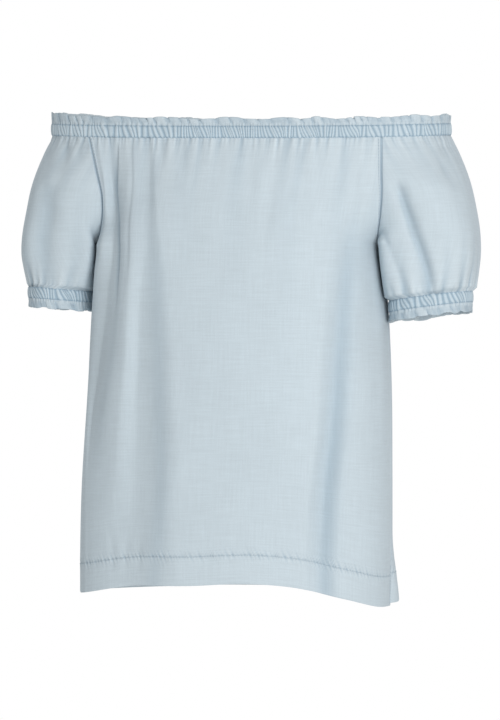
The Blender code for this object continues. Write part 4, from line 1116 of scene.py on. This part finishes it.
def cloth_piece(node, surface, slot):
    """Mesh of a finished surface in place of a node, with faces turned outwards, cloth coordinates and painted
    shading.
    """
    points = surface["points"]
    rows, columns = points.shape[:2]
    index = np.arange(rows * columns).reshape(rows, columns)
    if surface.get("around"):
        index = np.concatenate([index, index[:, :1]], axis=1)
    if surface.get("tube"):
        index = np.concatenate([index, index[:1]], axis=0)
    if "joined_from" in surface:
        index[surface["joined_from"] :, -1] = index[surface["joined_from"] :, 0]
    corners = quad_corners(index).reshape(-1, 4)
    uvs = quad_corners(surface["cloth"]).reshape(-1, 4, 2)
    spots = points.reshape(-1, 3)
    wanted = surface["outward"].reshape(-1, 2)[corners[:, 0]]
    if np.sum(facings(spots, corners)[:, :2] * wanted) < 0:
        corners, uvs = corners[:, ::-1], uvs[:, ::-1]
    if surface.get("tube") and not surface.get("around"):
        corners, uvs = close_ends(index, corners, uvs, spots)
    used, renumbered = np.unique(corners, return_inverse=True)
    faces = renumbered.reshape(corners.shape)
    painted_shading_and_wear = surface["painted_shading_and_wear"].reshape(-1)[used]
    piece = add_mesh(node + "_cloth", spots[used], faces, CLOTHS[slot], uvs, painted_shading_and_wear)
    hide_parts(node)


def close_ends(index, corners, uvs, spots):
    """Closes both ends of a flattened tube of cloth."""
    loops = index[:-1]
    steps = np.arange(len(loops) // 2 - 1)
    middle = spots[:, 0].mean()
    for column in (0, -1):
        ring = loops[:, column]
        quads = np.stack([ring[steps], ring[steps + 1], ring[-2 - steps], ring[-1 - steps]], axis=1)
        if facings(spots, quads)[:, 0].sum() * (spots[ring[0], 0] - middle) < 0:
            quads = quads[:, ::-1]
        corners = np.concatenate([corners, quads])
        uvs = np.concatenate([uvs, np.zeros((len(quads), 4, 2))])
    return corners, uvs


def stitch_faces():
    """Faces of one stitch, numbered from its own first point."""
    faces = []
    for start in range(0, STITCH_SIDES * (len(STITCH_STATIONS) - 1), STITCH_SIDES):
        for side in range(STITCH_SIDES):
            here, beside = start + side, start + (side + 1) % STITCH_SIDES
            faces.append((here, beside, beside + STITCH_SIDES, here + STITCH_SIDES))
    for station, order in STITCH_ENDS:
        faces.append(tuple(station * STITCH_SIDES + corner for corner in order))
    return np.array(faces)


def stitches(name, paths, material, length=2.3, gap=0.9, radius=0.26):
    """Rows of raised stitches along paths, each a list of points with the outward vectors there."""
    turn = np.arange(STITCH_SIDES) / STITCH_SIDES * 2 * math.pi
    one = stitch_faces()
    vertices, faces = [], []
    for points, outward in paths:
        along = arc_lengths(points)
        number = max(int(along[-1] / (length + gap)), 1)
        pitch = along[-1] / number
        for step in range(number):
            spots = [step * pitch + gap / 2 + share * (pitch - gap) for share, _, _ in STITCH_STATIONS]
            middle = np.stack([np.interp(spots, along, points[:, axis]) for axis in range(3)], axis=1)
            out = np.stack([np.interp(spots, along, outward[:, axis]) for axis in range(3)], axis=1)
            out /= np.linalg.norm(out, axis=1)[:, None]
            run = middle[-1] - middle[0]
            run /= np.linalg.norm(run)
            across = np.cross(out, run)
            faces.append(one + STITCH_SIDES * len(vertices))
            for spot, (_, girth, lift) in enumerate(STITCH_STATIONS):
                ring = np.cos(turn)[:, None] * across[spot] + np.sin(turn)[:, None] * out[spot]
                vertices.append(middle[spot] + out[spot] * lift * radius + ring * radius * girth)
    add_mesh(name, np.concatenate(vertices), np.concatenate(faces), material)


def lifted(points, outward, by):
    """A path of points raised off the cloth, with its outward vectors in three directions."""
    out = np.column_stack([outward, np.zeros(len(outward))])
    out /= np.linalg.norm(out, axis=1)[:, None]
    return points + out * by, out


class Value:
    """A number that varies over the cloth: arithmetic on it adds the nodes that work it out."""

    def __init__(self, finish, socket):
        self.finish = finish
        self.socket = socket

    def __add__(self, other):
        return self.finish.maths("ADD", self, other)

    __radd__ = __add__

    def __mul__(self, other):
        return self.finish.maths("MULTIPLY", self, other)

    __rmul__ = __mul__

    def __sub__(self, other):
        return self.finish.maths("SUBTRACT", self, other)

    def __rsub__(self, other):
        return self.finish.maths("SUBTRACT", other, self)

    def __neg__(self):
        return self.finish.maths("MULTIPLY", self, -1.0)


class Finish:
    """One cloth finish: a Principled material and the ways to vary it."""

    def __init__(self, name):
        self.material = bpy.data.materials.new(name)
        self.material.use_nodes = True
        self.tree = self.material.node_tree
        self.shader = self.tree.nodes["Principled BSDF"]

    def node(self, kind, settings, sockets, output=0):
        """Adds a node with its settings and its socket values or links, and gives one output."""
        made = self.tree.nodes.new(kind)
        for setting, value in settings.items():
            setattr(made, setting, value)
        for socket, value in sockets.items():
            self.feed(made.inputs[socket], value)
        return Value(self, made.outputs[output])

    def feed(self, socket, value):
        """Links a varying value to a socket, or sets a plain one on it."""
        if isinstance(value, Value):
            self.tree.links.new(value.socket, socket)
        else:
            socket.default_value = value

    def give(self, part, value):
        """Sets or links one part of the material."""
        self.feed(self.shader.inputs[part], value)

    def speckle(self, scale):
        """Noise from 0 to 1 in the piece's own space."""
        place = self.node("ShaderNodeTexCoord", {}, {}, 3)
        return self.node("ShaderNodeTexNoise", {}, {"Vector": place, "Scale": scale, "Detail": 2.0})

    def maths(self, operation, first, second):
        return self.node("ShaderNodeMath", {"operation": operation}, {0: first, 1: second})

    def clipped(self, value):
        """The value kept between 0 and 1."""
        return self.node("ShaderNodeMath", {"operation": "ADD", "use_clamp": True}, {0: value, 1: 0.0})

    def waves(self, value):
        return self.node("ShaderNodeMath", {"operation": "SINE"}, {0: value})

    def blend(self, share, first, second):
        """Goes from one colour to another by a share."""
        return self.node("ShaderNodeMix", {"data_type": "RGBA"}, {0: share, 6: first, 7: second}, 2)

    def brighter(self, colour, times):
        """A colour with all its parts multiplied by one number."""
        return self.node("ShaderNodeVectorMath", {"operation": "SCALE"}, {0: colour, "Scale": times})

    def cloudy(self, across, down, across_scale, down_scale, detail):
        """Soft noise from -1 to 1 over the cloth, at its own scale across and down."""
        place = self.node("ShaderNodeCombineXYZ", {}, {0: across * across_scale, 1: down * down_scale})
        noise = self.node(
            "ShaderNodeTexNoise", {}, {"Vector": place, "Scale": 1.0, "Detail": detail, "Roughness": 0.6}
        )
        return (noise - 0.5) * 2.0


# Chambray: yarns a metre, and how strongly slubs, wash, weave and uneven yarns change the colour, and how strongly
# the painted shade in valleys and the lighter ridges, partly wear and partly painted highlight, change it
YARNS_PER_METRE = 1150.0
WEFT_SLUBS = 0.1
WARP_SLUBS = 0.08
WASH_CLOUDS = 0.05
WEAVE_CONTRAST = 0.07
YARN_NOISE = 0.04
VALLEY_SHADE = 0.5
WORN_AND_LIT_RIDGES = 0.35
SHEEN = {
    "Specular IOR Level": 0.25,
    "Sheen Weight": 0.18,
    "Sheen Roughness": 0.55,
    "Sheen Tint": (0.86, 0.93, 1.0, 1.0),
}


def chambray(name, washed, deep, worn_and_lit_colour, shade_and_wear_gain):
    """Washed chambray: blue warp and white weft with slubs, painted shade of deeper blue in creases, and raised edges
    lighter, partly from wear and partly a painted highlight.
    """
    finish = Finish(name)
    apart = finish.tree.nodes.new("ShaderNodeSeparateXYZ")
    finish.feed(apart.inputs[0], finish.node("ShaderNodeUVMap", {"uv_map": "cloth"}, {}))
    across, down = (Value(finish, apart.outputs[axis]) for axis in (0, 1))
    painted_shading_and_wear = finish.node("ShaderNodeAttribute", {"attribute_name": "painted_shading_and_wear"}, {}, 2)
    weft = finish.cloudy(across, down, 30.0, 620.0, 3.0)
    warp = finish.cloudy(across, down, 620.0, 26.0, 3.0)
    clouds = finish.cloudy(across, down, 14.0, 9.0, 3.0)
    turns = 2 * math.pi * YARNS_PER_METRE
    weave = finish.waves(across * turns) * finish.waves(down * turns)
    yarn_noise = finish.cloudy(across, down, 1400.0, 1400.0, 1.0)
    # Painted shade: a valley of the cloth goes towards the deep colour; a ridge goes towards the lighter colour,
    # partly wear and partly painted highlight
    valley = finish.clipped(painted_shading_and_wear * -shade_and_wear_gain)
    raised = finish.clipped(painted_shading_and_wear * shade_and_wear_gain)
    colour = finish.blend(valley * VALLEY_SHADE, washed, deep)
    colour = finish.blend(raised * WORN_AND_LIT_RIDGES, colour, worn_and_lit_colour)
    light = 1.0 + weft * WEFT_SLUBS + warp * WARP_SLUBS + clouds * WASH_CLOUDS
    light = light + weave * WEAVE_CONTRAST + yarn_noise * YARN_NOISE
    finish.give("Base Color", finish.brighter(colour, light))
    finish.give("Roughness", 0.86 + weft * 0.05 - raised * 0.06)
    height = weave * 0.5 + weft * 0.6 + warp * 0.5 + yarn_noise * 0.3
    finish.give("Normal", finish.node("ShaderNodeBump", {}, {"Strength": 0.35, "Distance": 0.0002, "Height": height}))
    for part, value in SHEEN.items():
        finish.give(part, value)
    return finish.material


def sewing_thread(name, colour):
    """Spun thread, a little uneven in colour."""
    finish = Finish(name)
    noise = finish.speckle(900.0)
    finish.give("Base Color", finish.brighter(colour, 0.75 + noise * 0.5))
    finish.give("Roughness", 0.7 + noise * 0.2)
    finish.give("Sheen Weight", 0.1)
    return finish.material


# Camera at the photograph's viewing angle: a little to the viewer's right, level, and far enough for a long lens
CAMERA_AZIMUTH = 12.0
CAMERA_DISTANCE = 3.0
AIM_HEIGHT = -0.2507
SENSOR = 36.0
FRAME_HEIGHT = 0.792


def make_camera():
    camera = bpy.data.cameras.new("camera")
    camera.sensor_width = SENSOR
    camera.lens = SENSOR * CAMERA_DISTANCE / FRAME_HEIGHT
    camera.clip_end = 50.0
    holder = bpy.data.objects.new("camera", camera)
    turn = math.radians(CAMERA_AZIMUTH)
    holder.location = (math.sin(turn) * CAMERA_DISTANCE, -math.cos(turn) * CAMERA_DISTANCE, AIM_HEIGHT)
    holder.rotation_euler = (math.pi / 2, 0.0, turn)
    bpy.context.scene.collection.objects.link(holder)
    bpy.context.scene.camera = holder


FLOOR_HEIGHT = -1.32
FLOOR_RADIUS = 2.6
FLOOR_COLOUR = (0.9, 0.9, 0.89)

# Even studio light, and the lamps: name, azimuth, elevation, distance, size, watts and colour
STUDIO_LIGHT = 0.53
LAMPS = (
    ("key", 29.0, 6.0, 2.6, 1.1, 37.5, (1.0, 0.965, 0.95)),
    ("back_fill", 215.0, 25.0, 2.8, 1.6, 22.0, (1.0, 1.0, 1.0)),
)


def make_floor():
    """Plain pale round floor well below the top."""
    turn = np.linspace(0.0, 2 * math.pi, 97)[:-1]
    rim = np.column_stack([np.cos(turn), np.sin(turn), np.zeros(len(turn))]) * FLOOR_RADIUS
    rim[:, 2] = FLOOR_HEIGHT
    mesh = bpy.data.meshes.new("floor")
    mesh.from_pydata(rim.tolist(), [], [tuple(range(len(turn)))])
    floor = bpy.data.objects.new("floor", mesh)
    bpy.context.scene.collection.objects.link(floor)
    finish = Finish("pale_floor")
    finish.give("Base Color", finish.brighter(FLOOR_COLOUR, 0.97 + finish.speckle(3.0) * 0.04))
    finish.give("Roughness", 0.9)
    mesh.materials.append(finish.material)


def soft_light(name, azimuth, elevation, distance, size, watts, colour):
    """Large square light aimed at the middle of the top."""
    lamp = bpy.data.lights.new(name, "AREA")
    lamp.shape = "SQUARE"
    lamp.size = size
    lamp.energy = watts
    lamp.color = colour
    holder = bpy.data.objects.new(name, lamp)
    turn, tilt = math.radians(azimuth), math.radians(elevation)
    away = np.array([math.sin(turn) * math.cos(tilt), -math.cos(turn) * math.cos(tilt), math.sin(tilt)])
    holder.location = away * distance + (0.0, 0.0, AIM_HEIGHT)
    holder.rotation_euler = (math.pi / 2 - tilt, 0.0, turn)
    bpy.context.scene.collection.objects.link(holder)


def make_light():
    """White studio: even light from all round, a large soft key from the front right and a fill from behind."""
    world = bpy.data.worlds.new("studio")
    bpy.context.scene.world = world
    world.use_nodes = True
    tree = world.node_tree
    seen = tree.nodes.new("ShaderNodeLightPath")
    strength = tree.nodes.new("ShaderNodeMix")
    strength.inputs[2].default_value = STUDIO_LIGHT
    strength.inputs[3].default_value = 1.0
    tree.links.new(seen.outputs["Is Camera Ray"], strength.inputs[0])
    backdrop = tree.nodes["Background"]
    backdrop.inputs["Color"].default_value = (1.0, 1.0, 1.0, 1.0)
    tree.links.new(strength.outputs[0], backdrop.inputs["Strength"])
    for lamp in LAMPS:
        soft_light(*lamp)
    settings = bpy.context.scene.view_settings
    settings.view_transform = "Standard"
    settings.look = "None"
    settings.exposure = 0.0
    settings.gamma = 1.0


# Colours of each cloth: washed, painted shade in a valley and lighter on a ridge, partly wear and partly painted
# highlight, and how soon the painted shading shows
CLOTHS = {
    "washed_cotton": chambray(
        "washed_chambray", (0.52, 0.61, 0.665, 1), (0.25, 0.36, 0.45, 1), (0.64, 0.72, 0.76, 1), 0.8
    ),
    "gathered_band": chambray(
        "gathered_chambray", (0.49, 0.60, 0.67, 1), (0.13, 0.24, 0.34, 1), (0.66, 0.74, 0.79, 1), 1.1
    ),
}
# Blue thread, darker than the cloth: partly its own colour and partly painted shade of the puckers round the stitches
BLUE_THREAD = sewing_thread("blue_thread", (0.24, 0.35, 0.45))
PALE_THREAD = sewing_thread("pale_thread", (0.4, 0.5, 0.57))


def edge_columns(from_edge, distance):
    """The two columns of a grid that lie nearest to a distance from either edge."""
    half = len(from_edge) // 2
    left = int(np.argmin(np.abs(from_edge[:half] - distance)))
    right = len(from_edge) - 1 - int(np.argmin(np.abs(from_edge[::-1][:half] - distance)))
    return left, right


def build_panels():
    """Front and back panels with their turned hems, and the stitches along hem, slits and armholes."""
    levels = panel_levels()
    down_slit = levels < SLIT_TOP
    down_armhole = levels[2:] > UNDERARM + 4
    seams, hem_rows = [], []
    for face, word, flat in ((-1, "front", (0.52, 0.465)), (1, "back", (0.5, 0.465))):
        panel = panel_surface(face, levels)
        cloth_piece(word + "_panel", panel, "washed_cotton")
        hem = hem_surface(face)
        cloth_piece(word + "_hem", hem, "washed_cotton")
        outer, outer_out = hem["outer"], hem["outer_outward"]
        hem_rows.append(lifted(outer[1], outer_out[1], HEM_STITCH_LIFT))
        if face < 0:
            for column in edge_columns(hem["from_edge"][0], SLIT_STITCHES_IN):
                points = np.concatenate([panel["points"][down_slit, column], outer[1:-3, column]])
                outs = np.concatenate([panel["outward"][down_slit, column], outer_out[1:-3, column]])
                hem_rows.append(lifted(points, outs, SEAM_STITCH_LIFT))
        points, outs = panel["points"][2:][down_armhole], panel["outward"][2:][down_armhole]
        for column in edge_columns(panel["from_edge"][3], ARMHOLE_STITCHES_IN):
            seams.append(lifted(points[:, column], outs[:, column], SEAM_STITCH_LIFT))
    stitches("armhole_stitches", seams, BLUE_THREAD, radius=0.22)
    stitches("hem_stitches", hem_rows, PALE_THREAD)


def build_sleeves():
    """Both sleeves, from inside the neck casing to inside their cuffs."""
    for side, node in ((-1, "sleeve_left"), (1, "sleeve_right")):
        cloth_piece(node, sleeve_surface(side), "washed_cotton")


def band_stitches(name, band):
    """Both rows of stitches that hold the elastic in a casing."""
    row = band.half_height - STITCH_ROW_INSET
    normals = np.concatenate([band.normals, band.normals[:1]])
    paths = []
    for level in (-row, row):
        points = band.place(band.out_by(level), level)
        paths.append(lifted(np.concatenate([points, points[:1]]), normals, BAND_STITCH_LIFT))
    stitches(name, paths, BLUE_THREAD)


def build_neck():
    """Neck casing with its elastic, its stitches and the frill above it, taller towards the left."""
    loop = neck_loop(NECK_POINTS)

    def pitch(along):
        """Gathers are close over the panels and wider over the sleeves."""
        spot = loop[int(along / NECK_PITCH_LENGTH * len(loop)) % len(loop)]
        return SLEEVE_GATHER_PITCH if abs(spot[0]) > ARMHOLE_SEAM_X - 25 else BODY_GATHER_PITCH

    band, frill_band = (
        Band(ring, ring_height(*ring.T), CASING_HALF_HEIGHT, 1, pitch, 3, BAND_LEAN) for ring in (loop, loop[::2])
    )
    cloth_piece("neck_casing", casing_surface(band), "gathered_band")
    spots = frill_band.loop[:, 0]
    tall = FRILL_TALLER * ease(*FRILL_TALLER_FROM, spots)
    tall = tall - FRILL_LOWER * ease(*FRILL_LOWER_FROM, spots) * (spots < ARMHOLE_SEAM_X)
    frill = frill_surface(frill_band, NECK_FRILL_HEIGHT, *NECK_FRILL, tall)
    cloth_piece("neck_frill", frill, "washed_cotton")
    band_stitches("neck_stitches", band)


def build_cuffs():
    """Both cuff casings with their elastic, stitches and frills."""
    for side, word in ((-1, "left"), (1, "right")):
        loop = cuff_loop(side, np.arange(CUFF_POINTS) / CUFF_POINTS)
        if side > 0:
            loop = loop[::-1]
        rise = cuff_height(side, loop[:, 0], 0.0)
        loop = loop * (side, 1)
        band = Band(loop, rise, CUFF_HALF_HEIGHT, -1, CUFF_GATHER_PITCH, 21 + side, CUFF_BAND_LEAN)
        if np.sum(band.normals * (loop - loop.mean(axis=0))) < 0:
            band.normals = -band.normals
        casing, frill = casing_surface(band), frill_surface(band, CUFF_FRILL_HEIGHT, *CUFF_FRILL)
        cloth_piece("cuff_casing_" + word, casing, "gathered_band")
        cloth_piece("cuff_frill_" + word, frill, "washed_cotton")
        band_stitches("cuff_stitches_" + word, band)


make_camera()
make_floor()
make_light()
build_panels()
build_sleeves()
build_neck()
build_cuffs()
